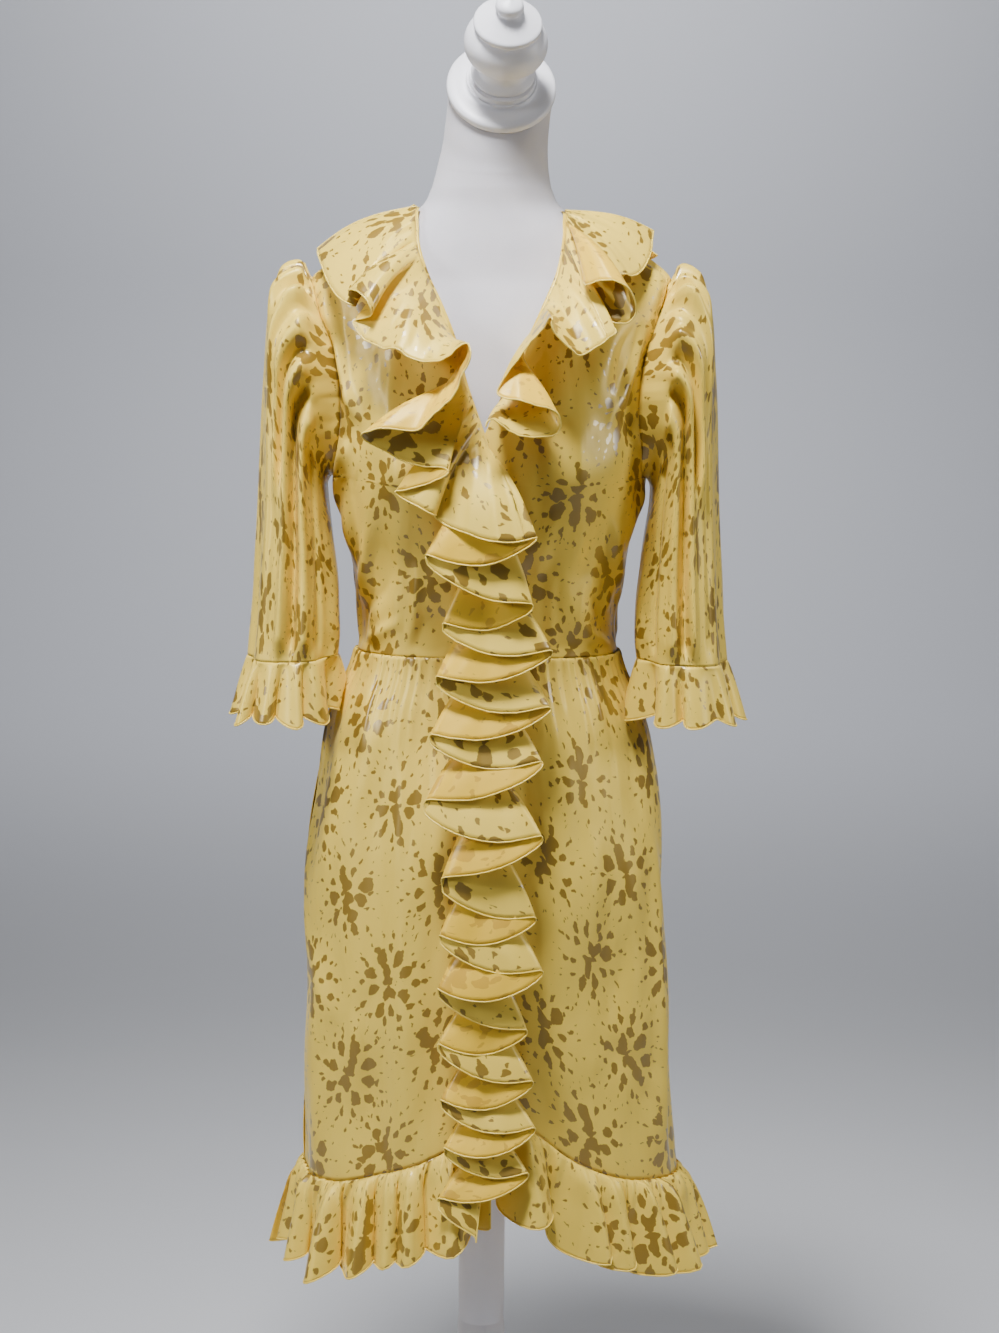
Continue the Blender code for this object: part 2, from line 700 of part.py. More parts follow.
def long_folds(theta, height):
    degrees = math.degrees(theta)
    out = 0.0
    for angle, swell, width in SKIRT_FOLDS:
        away = (degrees - angle + 180) % 360 - 180
        out += swell * math.exp(-((away / width) ** 2))
    return out * fade(0.96 - height, 0.0, 0.20) * 1.2


def skirt_angle(x):
    """The compass angle at which the skirt is x from the centre at mid height."""
    width = SKIRT.at("left" if x > 0 else "right", 0.80)
    return math.copysign(math.asin(min(1.0, abs(x) / width)), x)


def skirt_point(theta, height, gather, lapped):
    base = skirt_base(theta, height)
    away = Vector((math.sin(theta) / 1.3, -math.cos(theta), 0)).normalized()
    out = long_folds(theta, height) + (1 + gather) * GATHER_DEPTH * fade(height, 0.90, 0.99)
    if lapped:
        out += lap_out(base.x)
    return base + away * out


def hem_height(panel, x):
    if panel == "right":
        return HEM_RIGHT.at("height", x)
    if panel == "left":
        return HEM_LEFT.at("height", x)
    return HEM_BACK


def make_skirt(silk):
    """Skirt pieces and the flounce below each. Returns the grids of both."""
    slip = 0.5 * SEAM / 0.13
    panels = {
        "right": (-math.pi / 2 + slip, skirt_angle(0.008)),
        "left": (skirt_angle(-0.066), math.pi / 2 - slip),
        "back": (math.pi / 2 + slip, 1.5 * math.pi - slip),
    }
    grids = {}
    for name, (start, end) in panels.items():
        columns, lapped = PANEL_COLUMNS[name], name == "right"
        angles = [start + (end - start) * k / columns for k in range(columns + 1)]
        hems = [hem_height(name, skirt_base(a, 0.5).x) for a in angles]
        grid = []
        for share in reversed(SKIRT_ROWS):
            line = []
            for k, angle in enumerate(angles):
                top = waist_height(angle) - SEAM
                height = top + (hems[k] - top) * share
                gather = 1 - 2 * (k % 2)
                if 0 < k < columns and (name != "left" or skirt_base(angle, height).x > 0.014):
                    line.append(skirt_point(angle, height, gather, lapped))
                else:
                    line.append(skirt_point(angle, height, -1, lapped))
            grid.append(line)
        label = "skirt_back" if name == "back" else f"skirt_{name}_front"
        wall(label, grid, silk, side_seams=True)
        grids[label] = grid
        flounce = []
        for part in (1.0, 0.45, 0.0):
            line = []
            for k, angle in enumerate(angles):
                hem = hems[k] - SEAM - 0.0002
                height = hem - FLOUNCE_DROP * part
                point = skirt_point(angle, hem, 0, lapped)
                away = Vector((math.sin(angle) / 1.3, -math.cos(angle), 0)).normalized()
                wave = math.sin(2 * math.pi * HEM_WAVES[name] * k / columns + 0.6)
                uneven = 1 + 0.3 * math.sin(2.3 * k) * math.sin(math.pi * k / columns)
                shown = fade(point.x, 0.014, 0.060) if name == "left" else 1.0
                ripple = part * shown * (FLOUNCE_FLARE + FLOUNCE_WAVE * wave * uneven)
                line.append(Vector((point.x, point.y, height - 0.006 * part * wave)) + away * ripple)
            flounce.append(line)
        label = "hem_flounce_back" if name == "back" else f"hem_flounce_{name}"
        wall(label, flounce, silk, side_seams=True)
        grids[label] = flounce
    return grids


def tree_of(grids, closed=()):
    """A search tree over the outer faces of some grids."""
    points, faces = [], []
    for key, grid in grids.items():
        base, columns = len(points), len(grid[0])
        points += [p for line in grid for p in line]
        for r in range(len(grid) - 1):
            for c in range(columns if key in closed else columns - 1):
                d = (c + 1) % columns
                a, b = base + r * columns, base + (r + 1) * columns
                faces.append((a + c, a + d, b + d, b + c))
    return BVHTree.FromPolygons(points, faces)


def keep_off(point, tree, least):
    """The point, moved out where it would come closer to the dress than least."""
    for _ in range(2):
        near, normal, _, _ = tree.find_nearest(point)
        axis = Vector((near.x * 0.35, near.y + 0.01, 0.02))
        if normal.dot(axis) < 0:
            normal = -normal
        depth = (point - near).dot(normal)
        if depth < least and (point - near).length < 0.06:
            point = point + normal * (least - depth)
    return point


def direction(azimuth, pitch):
    """A unit vector: azimuth 0 is the front and 90 degrees the wearer's left, and pitch is downwards."""
    a, p = math.radians(azimuth), math.radians(pitch)
    return Vector((math.sin(a) * math.cos(p), -math.cos(a) * math.cos(p), -math.sin(p)))


def swings(table, root_at):
    """Each fold's azimuth, pitch and reach, worked out from where its tip lies."""
    folds = []
    for seam, tip_x, tip_height, tip_out in table.rows[::-1]:
        away = Vector((tip_x, -tip_out, tip_height)) - root_at(seam)
        azimuth = math.degrees(math.atan2(away.x, -away.y))
        pitch = math.degrees(math.asin(-away.z / away.length))
        folds.append((seam, azimuth, pitch, away.length))
    return folds


def ruffle_grid(folds, root_at, tree):
    """Rulings from the seam to the free edge, which swing from fold to fold and turn back in a round bend."""
    lines = []
    for i, (low, high) in enumerate(zip(folds, folds[1:])):
        steps = FOLD_STEPS
        steps = (0.0,) + steps if i == 0 else steps
        steps = steps + (1.0,) if i == len(folds) - 2 else steps
        for t in steps:
            eased = fade(t, 0.10, 0.90)
            seam = low[0] + (high[0] - low[0]) * t
            azimuth = low[1] + (high[1] - low[1]) * eased
            pitch = low[2] + (high[2] - low[2]) * eased
            reach = low[3] + (high[3] - low[3]) * eased
            if abs(high[1] - low[1]) > 60:
                pitch += SAG * math.sin(math.pi * eased)
            root = root_at(seam)
            line = []
            for k in range(ACROSS + 1):
                part = k / ACROSS
                lift = BULGE * math.sin(math.pi * part) * reach
                way = direction(azimuth, pitch) * (reach * part) + direction(azimuth * 0.5, -35) * lift
                line.append(keep_off(root + way, tree, CLOTH / 2 + SEAM + STAND * part))
            lines.append(line)
    return [list(column) for column in zip(*lines)]


def make_ruffles(silk, bodice, skirt, sleeves):
    clear = CLOTH / 2 + SEAM
    tree = tree_of({**bodice, **skirt, **sleeves}, closed=tuple(sleeves))

    def root_on(edge, side, lapped):
        def root_at(height):
            x = edge.at("x", height) + side * 0.0025
            theta = angle_at(x, height) if height > WAIST else skirt_angle(x)
            hang = max(0.0, HEM_RIGHT.rows[-1][1] - height) / FLOUNCE_DROP
            before = clear + hang * (FLOUNCE_FLARE + FLOUNCE_WAVE)
            below = skirt_point(theta, height, 1, lapped) + Vector((0, -before, 0))
            if height <= WAIST:
                return below
            above = on_form(theta, height, cloth_out(height) + clear + (lap_out(x) if lapped else 0.0))
            return below.lerp(above, fade(height, WAIST, WAIST + 0.04))

        return root_at

    right_root = root_on(RIGHT_EDGE, -1, True)
    folds = swings(FRONT_RUFFLE, right_root)
    grid = ruffle_grid(folds, right_root, tree)
    wall("front_ruffle", grid, silk, centred=True)
    left_root = root_on(LEFT_EDGE, 1, False)
    folds = swings(LEFT_NECK_FLOUNCE, left_root)
    grid = ruffle_grid(folds, left_root, tree)
    wall("neck_flounce_left", grid, silk, centred=True)
    make_back_flounce(silk, tree, clear)


def make_back_flounce(silk, tree, clear):
    """The flounce round the back neck, from shoulder seam to shoulder seam."""
    columns = BACK_NECK["waves"] * 6
    lines = []
    for k in range(columns + 1):
        share = k / columns
        start, end = BACK_NECK_ENDS
        theta = math.radians(start + (end - start) * share)
        root = on_form(theta, BACK_NECK["seam"], cloth_out(BACK_NECK["seam"]) + clear)
        around = 2 * math.pi * BACK_NECK["waves"] * share
        middle = math.sin(math.pi * share)
        azimuth = math.degrees(theta) + BACK_NECK["swing"] * math.sin(around) * middle
        pitch = 12 + 26 * middle
        line = []
        for step in range(ACROSS + 1):
            part = step / ACROSS
            point = root + direction(azimuth, pitch + 14 * part) * (BACK_NECK["reach"] * part)
            if step:
                lift = 0.003 + part * (0.006 + BACK_NECK["lift"] * middle * (0.5 - 0.5 * math.cos(around)))
                point = keep_off(point, tree, lift)
            line.append(point)
        lines.append(line)
    wall("neck_flounce_back", [list(column) for column in zip(*lines)], silk, centred=True)


def build():
    for thing in list(bpy.data.objects):
        bpy.data.objects.remove(thing)
    silk = finish("pale_gold_silk", (0.78, 0.62, 0.30), 0.42)
    jersey = finish("white_jersey", (0.70, 0.69, 0.71), 0.85)
    wood = finish("white_painted_wood", (0.80, 0.79, 0.78), 0.45)
    make_torso(jersey)
    make_stand(wood)
    bodice = make_bodice(silk)
    sleeves = {}
    for name, side in (("right", -1), ("left", 1)):
        sleeves[f"sleeve_{name}"] = make_sleeve(name, side, bodice, silk)
    skirt = make_skirt(silk)
    skirt_tree = tree_of(skirt)
    for name, side in (("right", -1), ("left", 1)):
        make_cuff(name, side, skirt_tree, silk)
    make_ruffles(silk, bodice, skirt, sleeves)


build()
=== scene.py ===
# %% [markdown]
# # A silk wrap dress on a dress form
#
# This lesson builds a pale gold wrap dress with a ruffled neck, a cascade down its front edge, ruffled cuffs
# and a flounced hem. It hangs on a limbless white form with a turned cap, pole and base.
#
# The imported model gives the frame: metres, +Z up, the front at -Y, and the wearer's right at -X. Each piece
# of cloth here follows the solid of the same name and stands for it.

import math

import bpy
import numpy as np
from mathutils import Matrix, Vector
from mathutils.bvhtree import BVHTree


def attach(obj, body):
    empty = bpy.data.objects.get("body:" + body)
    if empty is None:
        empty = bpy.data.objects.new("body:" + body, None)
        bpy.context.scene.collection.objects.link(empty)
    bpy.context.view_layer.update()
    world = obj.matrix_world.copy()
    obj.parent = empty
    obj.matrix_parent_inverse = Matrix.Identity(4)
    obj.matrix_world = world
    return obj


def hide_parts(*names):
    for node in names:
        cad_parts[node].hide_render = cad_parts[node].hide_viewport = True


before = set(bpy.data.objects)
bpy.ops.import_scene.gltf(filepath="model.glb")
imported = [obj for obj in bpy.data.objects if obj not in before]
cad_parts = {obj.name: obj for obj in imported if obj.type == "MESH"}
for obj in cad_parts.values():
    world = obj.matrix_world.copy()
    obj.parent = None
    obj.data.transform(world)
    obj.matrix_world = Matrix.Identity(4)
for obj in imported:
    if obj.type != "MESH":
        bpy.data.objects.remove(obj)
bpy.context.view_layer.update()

# %% [markdown]
# ## Sizes and curves
#
# A dress has few straight lines. Its shapes could be sculpted, but then no size could be changed later. Here
# they come from short tables: a row for each height or each fold, and a smooth curve between the rows. Every
# function works on whole arrays of points at once.

# %% Sizes and small curves
SHELL = 0.0006  # thickness of the silk as it is drawn
CLOTH = 0.0011  # thickness of the solids' cloth
SEAM = 0.0001  # gap between two pieces at a seam
TUCK = 0.0009  # how far a piece goes in under its neighbour where it is sewn on
EASE, SHOULDER_EASE = 0.0018, 0.0007  # how far the bodice stands off the form, and off its shoulders
LAP = 0.0026  # how far the right front steps out over the left front
WAIST, WAIST_RISE = 1.015, 0.006  # the waist seam at the sides, and how much higher it is at the centres
ARMPIT, SHOULDER_TIP, NECK_TOP = 1.190, 1.386, 1.452
MM = 0.001
TURN = 2 * math.pi


def cubic(t, start, end, leaving, arriving):
    """A curve from start to end, for t from 0 to 1, that leaves and arrives at the given slopes."""
    near, far = 2 * t**3 - 3 * t**2 + 1, 3 * t**2 - 2 * t**3
    return near * start + (t**3 - 2 * t**2 + t) * leaving + far * end + (t**3 - t**2) * arriving


class Table:
    """Rows of named columns, read between the rows along a smooth curve."""

    def __init__(self, columns, *rows):
        self.columns = columns.split()
        self.rows = np.array(sorted(rows), dtype=float)

    def at(self, name, key):
        keys = self.rows[:, 0]
        values = self.rows[:, self.columns.index(name)]
        slopes = np.gradient(values, keys)
        key = np.clip(key, keys[0], keys[-1])
        i = np.clip(np.searchsorted(keys, key, side="right") - 1, 0, len(keys) - 2)
        span = keys[i + 1] - keys[i]
        return cubic((key - keys[i]) / span, values[i], values[i + 1], span * slopes[i], span * slopes[i + 1])


def fade(value, low, high):
    """0 below low, 1 above high, smooth between."""
    t = np.clip((value - low) / (high - low), 0.0, 1.0)
    return t * t * (3 - 2 * t)


def hump(value, wide):
    """1 at zero, falling smoothly to next to nothing at twice the width."""
    return np.exp(-((value / wide) ** 2))


def pointed(x, y, z):
    """Points from their three coordinates, each an array or a number."""
    return np.stack(np.broadcast_arrays(x, y, z), axis=-1).astype(float)


def unit(vectors):
    return vectors / np.maximum(np.linalg.norm(vectors, axis=-1, keepdims=True), 1e-9)


def walked(steps):
    """How far along each point is, from the lengths of the steps between them."""
    return np.concatenate([[0], np.cumsum(steps)])


print("bodice from", WAIST, "to", NECK_TOP, "m, cloth drawn", SHELL / MM, "mm thick")

# %% [markdown]
# ## The surface that the dress is cut to
#
# A dress form is padded linen or foam under jersey, and a dress hangs from its shoulders. Both could be
# modelled by hand from a cylinder. A table of level sections is shorter, and the cloth can then be measured
# off the same skin: a compass angle (0 is the front, 90 degrees the wearer's left) and a height give a point
# on it. The bodice lies a little outside the skin, and the skirt falls from the waist in its own outline.

# %% The form's sections
FORM = Table(
    "height half_width front back squareness",
    (0.800, 0.150, 0.094, 0.112, 2.1),
    (0.820, 0.158, 0.100, 0.120, 2.1),
    (0.870, 0.161, 0.104, 0.124, 2.1),
    (0.930, 0.152, 0.102, 0.114, 2.1),
    (0.985, 0.136, 0.097, 0.099, 2.1),
    (1.030, 0.1265, 0.094, 0.090, 2.1),
    (1.100, 0.134, 0.104, 0.094, 2.1),
    (1.170, 0.149, 0.113, 0.102, 2.2),
    (1.230, 0.156, 0.115, 0.110, 2.2),
    (1.300, 0.161, 0.106, 0.114, 2.3),
    (1.350, 0.170, 0.090, 0.108, 2.3),
    (1.372, 0.175, 0.078, 0.100, 2.3),
    (1.386, 0.174, 0.070, 0.093, 2.3),
    (1.400, 0.157, 0.065, 0.086, 2.2),
    (1.420, 0.124, 0.059, 0.076, 2.1),
    (1.440, 0.092, 0.053, 0.065, 2.0),
    (1.456, 0.069, 0.049, 0.056, 2.0),
    (1.475, 0.059, 0.047, 0.051, 2.0),
)
BUST = {"apart": 0.084, "height": 1.215, "out": 0.020, "wide": 0.046, "high": 0.058}
SKIN_STEP = 0.004  # how far to each side of a point the slope of the skin is taken, in radians and metres


def section(theta, height):
    """A point on the skin: a rounded square in plan, with the bust added at the front."""
    power = 2.0 / FORM.at("squareness", height)
    s, c = np.sin(theta), np.cos(theta)
    x = np.sign(s) * np.abs(s) ** power * FORM.at("half_width", height)
    depth = np.where(c > 0, FORM.at("front", height), FORM.at("back", height))
    y = -np.sign(c) * np.abs(c) ** power * depth
    across = (np.abs(x) - BUST["apart"]) / BUST["wide"]
    above = (height - BUST["height"]) / BUST["high"]
    y = y - BUST["out"] * np.exp(-(across**2) - above**2) * np.sqrt(np.maximum(c, 0))
    return pointed(x, y, height)


def on_form(theta, height, out):
    """A point that stands off the skin, squarely to it."""
    around = section(theta + SKIN_STEP, height) - section(theta - SKIN_STEP, height)
    up = section(theta, height + SKIN_STEP) - section(theta, height - SKIN_STEP)
    return section(theta, height) + unit(np.cross(around, up)) * np.asarray(out)[..., None]


def angle_at(x, height, behind=False):
    """The compass angle at which the skin is x from the centre plane."""
    share = np.minimum(1.0, np.abs(x) / FORM.at("half_width", height))
    angle = np.arcsin(share ** (FORM.at("squareness", height) / 2.0))
    angle = np.pi - angle if behind else angle
    return np.copysign(angle, x)


print("form:", len(FORM.rows), "sections, bust", BUST)


# %% Where bodice and skirt lie
def cloth_out(height):
    """How far the outer face of the bodice stands off the skin."""
    return CLOTH + EASE + (SHOULDER_EASE - EASE) * fade(height, 1.36, 1.42)


def waist_height(theta):
    return WAIST + WAIST_RISE * np.cos(theta) ** 2


def lap_out(x):
    return LAP * fade(x, -0.105, -0.082)


def outwards(theta):
    """The level direction away from the body, for a body 1.3 times as wide as it is deep."""
    return unit(pointed(np.sin(theta) / 1.3, -np.cos(theta), 0 * theta))


SKIRT = Table(
    "height right left front back",
    (0.4400, 0.188, 0.206, 0.133, 0.135),
    (0.5600, 0.1865, 0.1945, 0.132, 0.134),
    (0.6550, 0.1845, 0.1890, 0.131, 0.134),
    (0.7600, 0.1830, 0.1850, 0.129, 0.134),
    (0.8590, 0.1737, 0.1760, 0.124, 0.134),
    (0.9000, 0.1680, 0.1700, 0.120, 0.130),
    (0.9400, 0.1600, 0.1610, 0.114, 0.122),
    (0.9750, 0.1490, 0.1480, 0.107, 0.110),
    (0.9950, 0.1400, 0.1400, 0.103, 0.102),
    (1.0180, 0.1315, 0.1315, 0.098, 0.0955),
)


def skirt_base(theta, height):
    """A point of the skirt before its folds. It leaves the bodice's surface over 5 cm below the waist."""
    s, c = np.sin(theta), np.cos(theta)
    x = s * np.where(s > 0, SKIRT.at("left", height), SKIRT.at("right", height))
    y = -c * np.where(c > 0, SKIRT.at("front", height), SKIRT.at("back", height))
    free = fade(waist_height(theta) - height, 0.0, 0.05)[..., None]
    return on_form(theta, height, cloth_out(height)) * (1 - free) + pointed(x, y, height) * free


def skirt_angle(x):
    """The compass angle at which the skirt is x from the centre plane."""
    width = SKIRT.at("left" if x > 0 else "right", 0.80)
    return math.copysign(math.asin(min(1.0, abs(x) / float(width))), x)


print("skirt:", len(SKIRT.rows), "sections")

# %% [markdown]
# ## Creases
#
# Silk on a form creases where it is pulled, at the waist, the bust and the armholes. A cloth simulation would
# put creases anywhere and take long, so these are placed one by one. A row gives two ends on the cloth
# (compass degrees and height), how far the crease stands out (or in, below zero), its half width and how much
# it bows. The sides that the photograph doesn't show get similar, uneven rows.

# %% Crease tables
CREASES_BODICE = (
    # from_deg from_z to_deg to_z out wide bow, all lengths in millimetres but the heights
    (-78, 1.060, -50, 1.150, 1.6, 9, 6),
    (-82, 1.040, -48, 1.095, -1.4, 8, 4),
    (-70, 1.030, -40, 1.055, 1.2, 6, 3),
    (-84, 1.150, -55, 1.235, 1.8, 10, -6),
    (-66, 1.330, -58, 1.220, -1.6, 9, 5),
    (-62, 1.340, -50, 1.250, 1.5, 9, 5),
    (-35, 1.030, -28, 1.120, 1.0, 6, 3),
    (84, 1.070, 52, 1.160, 1.7, 9, -6),
    (80, 1.035, 46, 1.085, -1.5, 8, -4),
    (72, 1.028, 44, 1.050, 1.2, 6, -3),
    (85, 1.160, 58, 1.240, 1.6, 10, 6),
    (64, 1.335, 55, 1.230, -1.7, 9, -5),
    (60, 1.345, 46, 1.255, 1.6, 10, -5),
    (30, 1.032, 26, 1.110, 1.0, 6, -3),
    (18, 1.030, 14, 1.130, -0.9, 7, 2),
    (100, 1.060, 130, 1.140, 1.8, 11, 8),
    (104, 1.035, 150, 1.085, -1.5, 9, 6),
    (124, 1.320, 140, 1.210, 1.6, 12, -6),
    (150, 1.030, 156, 1.120, 1.1, 7, 3),
    (205, 1.028, 200, 1.130, 1.2, 7, -3),
    (258, 1.060, 228, 1.150, 1.7, 11, -8),
    (252, 1.032, 212, 1.080, -1.4, 9, -6),
    (238, 1.315, 222, 1.215, 1.5, 12, 6),
    (170, 1.300, 190, 1.290, 1.0, 10, 5),
)
CREASES_SKIRT = (
    (-64, 0.930, -60, 0.470, 5.0, 20, 6),
    (-38, 0.900, -36, 0.470, -4.0, 18, -5),
    (-20, 0.940, -23, 0.560, 3.0, 15, 4),
    (24, 0.900, 26, 0.520, 3.2, 15, 4),
    (47, 0.930, 49, 0.480, -4.6, 20, 5),
    (69, 0.860, 70, 0.470, 7.0, 13, -4),
    (76, 0.800, 77, 0.470, -3.0, 9, 3),
    (112, 0.920, 110, 0.470, -4.6, 22, 6),
    (138, 0.900, 140, 0.470, 5.8, 20, -6),
    (165, 0.930, 163, 0.470, -4.0, 20, 6),
    (190, 0.900, 192, 0.470, 5.0, 22, -6),
    (218, 0.920, 216, 0.470, -4.6, 20, 6),
    (243, 0.900, 245, 0.470, 5.8, 20, 5),
    (-84, 0.780, -50, 0.640, 1.6, 14, 12),
    (-30, 0.700, -66, 0.560, -1.4, 14, 10),
    (60, 0.740, 32, 0.600, 1.6, 14, -12),
    (36, 0.640, 66, 0.540, -1.7, 13, -10),
    (54, 0.600, 80, 0.500, 1.6, 12, -8),
    (120, 0.760, 150, 0.620, 1.6, 15, 12),
    (235, 0.740, 205, 0.600, -1.6, 15, 10),
)
DART_LINES = (
    # from_deg from_z to_deg to_z
    (-43, 1.012, -47, 1.158),
    (43, 1.012, 47, 1.158),
    (158, 1.012, 152, 1.135),
    (202, 1.012, 208, 1.135),
)
SOFT_WAVES = (
    # waves per metre around and up, depth in millimetres, phase
    (9.0, 5.0, 0.55, 0.3),
    (-6.0, 8.0, 0.50, 1.9),
    (15.0, 4.0, 0.35, 2.4),
    (4.0, -13.0, 0.30, 4.1),
    (22.0, -7.0, 0.18, 0.8),
    (-17.0, 16.0, 0.14, 5.2),
)
AROUND = 0.14  # metres of cloth for each radian round the body
print("creases:", len(CREASES_BODICE), "on the bodice,", len(CREASES_SKIRT), "on the skirt")


# %% Creases, darts and soft waves
def creases(theta, height, rows):
    """How far the cloth stands out at each point, from a table of creases."""
    degrees = np.degrees(theta)
    total = np.zeros(np.broadcast(theta, height).shape)
    for from_deg, from_z, to_deg, to_z, out, wide, bow in rows:
        x = np.radians((degrees - from_deg + 180) % 360 - 180) * AROUND
        z = height - from_z
        along = np.array((math.radians(to_deg - from_deg) * AROUND, to_z - from_z))
        length = np.linalg.norm(along)
        t = (x * along[0] + z * along[1]) / length**2
        aside = (x * along[1] - z * along[0]) / length - bow * MM * np.sin(np.pi * np.clip(t, 0, 1))
        ends = fade(t, -0.12, 0.28) * (1 - fade(t, 0.72, 1.12))
        total += out * MM * hump(aside, wide * MM) * ends
    return total


def darts(theta, height):
    """A dart is a fine sewn groove with a low pucker along it."""
    grooves = [(a, za, b, zb, -0.9, 1.6, 0) for a, za, b, zb in DART_LINES]
    puckers = [(a, za + 0.02, b, zb, 0.5, 6, 1.5) for a, za, b, zb in DART_LINES]
    return creases(theta, height, grooves) + creases(theta, height, puckers)


def softness(around, up):
    """Shallow, uneven waves that keep the cloth from lying like a shell. Both lengths are in metres."""
    total = 0.0
    for across, along, depth, phase in SOFT_WAVES:
        bend = 0.9 * np.sin(TURN * (0.31 * along * around - 0.27 * across * up) + phase)
        total = total + depth * MM * np.sin(TURN * (across * around + along * up) + phase + bend)
    return total


print("soft waves:", len(SOFT_WAVES), "and", len(DART_LINES), "darts")

# %% [markdown]
# ## From a grid of points to a piece of cloth
#
# A cut piece of silk is flat, with threads that run along it. So each piece here is one grid, with a map in
# metres of cloth: the woven pattern keeps its real size and follows the cut. An unwrapped map would stretch
# it. A second face gives the cloth its thickness, and a narrow rolled hem runs along its free edges.

# %% Grids and meshes
CLOTH_MAP = "Cloth"


def wrapped(grid, closed):
    """The grid, with its first column again at the end where it closes into a tube."""
    return np.concatenate([grid, grid[:, :1]], axis=1) if closed else grid


def cloth_metres(grid, closed, level=False):
    """Metres along and up the cloth at each point. A level piece is measured from its middle line, x = 0."""
    looped = wrapped(grid, closed)
    across = np.linalg.norm(np.diff(looped, axis=1), axis=-1)
    up = np.linalg.norm(np.diff(looped, axis=0), axis=-1)
    v = walked(up.mean(axis=1))
    if not level:
        u = walked(across.mean(axis=0))
        return np.stack(np.meshgrid(u - u.mean(), v), axis=-1)
    far = np.concatenate([np.zeros((len(grid), 1)), np.cumsum(across, axis=1)], axis=1)
    nearest = np.abs(grid[..., 0]).argmin(axis=1)[:, None]
    start = np.take_along_axis(grid[..., 0], nearest, axis=1)
    heading = np.sign(grid[:, -1:, 0] - grid[:, :1, 0])
    u = start + heading * (far - np.take_along_axis(far, nearest, axis=1))
    return np.stack([u, v[:, None] + 0 * u], axis=-1)


def grid_faces(rows, columns, closed=False, flip=False):
    """Corner numbers of each face, and of the same corners in a map.

    On a closed grid the map has one column more than the points have.
    """
    wrap = columns if closed else columns - 1
    r, c = (a.ravel() for a in np.meshgrid(np.arange(rows - 1), np.arange(wrap), indexing="ij"))
    d = (c + 1) % columns
    faces = np.stack([r * columns + c, r * columns + d, (r + 1) * columns + d, (r + 1) * columns + c], axis=1)
    wide = columns + 1 if closed else columns
    corners = np.stack([r * wide + c, r * wide + c + 1, (r + 1) * wide + c + 1, (r + 1) * wide + c], axis=1)
    return (faces[:, ::-1], corners[:, ::-1]) if flip else (faces, corners)


def mesh_object(name, points, faces, material, maps=None):
    """A smooth mesh in the scene. maps holds a place on the cloth for each corner of each face."""
    data = bpy.data.meshes.new(name)
    data.from_pydata(np.reshape(points, (-1, 3)).tolist(), [], faces)
    if maps is not None:
        data.uv_layers.new(name=CLOTH_MAP).data.foreach_set("uv", maps.ravel())
    data.shade_smooth()
    data.materials.append(material)
    thing = bpy.data.objects.new(name, data)
    bpy.context.collection.objects.link(thing)
    return thing


print("cloth map:", CLOTH_MAP)

# %% Cloth maker
HEM_RADIUS, HEM_SIDES = 0.0008, 6
PATCH_SHIFT = np.array((0.37, 0.61))  # each piece is cut this far along the bolt from the one before
grids = {}
pieces = {}


def rolled_hem(name, line, closed):
    """A thin round edge along a line of points."""
    line = np.asarray(line)
    ahead = np.roll(line, -1, axis=0) - np.roll(line, 1, axis=0)
    if not closed:
        ahead[0], ahead[-1] = line[1] - line[0], line[-1] - line[-2]
    ahead = unit(ahead)
    side = unit(np.cross(ahead, np.array((0.13, 0.21, 0.97))))
    over = np.cross(side, ahead)
    turn = (TURN * np.arange(HEM_SIDES) / HEM_SIDES)[:, None]
    rings = line[:, None] + HEM_RADIUS * (side[:, None] * np.cos(turn) + over[:, None] * np.sin(turn))
    if closed:
        rings = np.concatenate([rings, rings[:1]])
    faces, corners = grid_faces(len(rings), HEM_SIDES, closed=True)
    maps = cloth_metres(rings, True).reshape(-1, 2)[corners]
    edge = mesh_object(name, rings, faces.tolist(), silk_hem, maps)
    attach(edge, "root")
    return edge


def cloth(name, grid, closed=False, flip=False, centred=False, hems=(), turn=0.0, level=False):
    """A piece of cloth that stands for the solid of the same name. hems are rows or columns of the grid."""
    faces, corners = grid_faces(*grid.shape[:2], closed, flip)
    c, s = math.cos(turn), math.sin(turn)
    metres = cloth_metres(grid, closed, level) @ np.array(((c, s), (-s, c))) + len(pieces) * PATCH_SHIFT
    piece = mesh_object(name + "_silk", grid, faces.tolist(), silk, metres.reshape(-1, 2)[corners])
    piece.data.materials.append(silk_reverse_painted_shade)
    thick = piece.modifiers.new("thickness", "SOLIDIFY")
    thick.thickness = SHELL
    thick.offset = 0.0 if centred else -1.0
    thick.material_offset = 1
    thick.use_even_offset = False
    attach(piece, "root")
    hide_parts(name)
    edges = []
    for number, (axis, place) in enumerate(hems):
        line = grid[place] if axis == "row" else grid[:, place]
        edges.append(rolled_hem(f"{name}_hem_{number}", line, closed and axis == "row"))
    pieces[name] = (piece, edges)
    grids[name] = grid


print("rolled hems:", 2 * HEM_RADIUS / MM, "mm across")

# %% [markdown]
# ## Materials
#
# Colours are written as the hex values that a screen shows, and one function turns them into linear light.
# Another adds a node, with what feeds it and how it is set, so a material reads as a list of its nodes.

# %% Colour and node helpers
def linear(colour):
    parts = [int(colour[k : k + 2], 16) / 255 for k in (1, 3, 5)]
    return (*(p / 12.92 if p <= 0.04045 else ((p + 0.055) / 1.055) ** 2.4 for p in parts), 1.0)


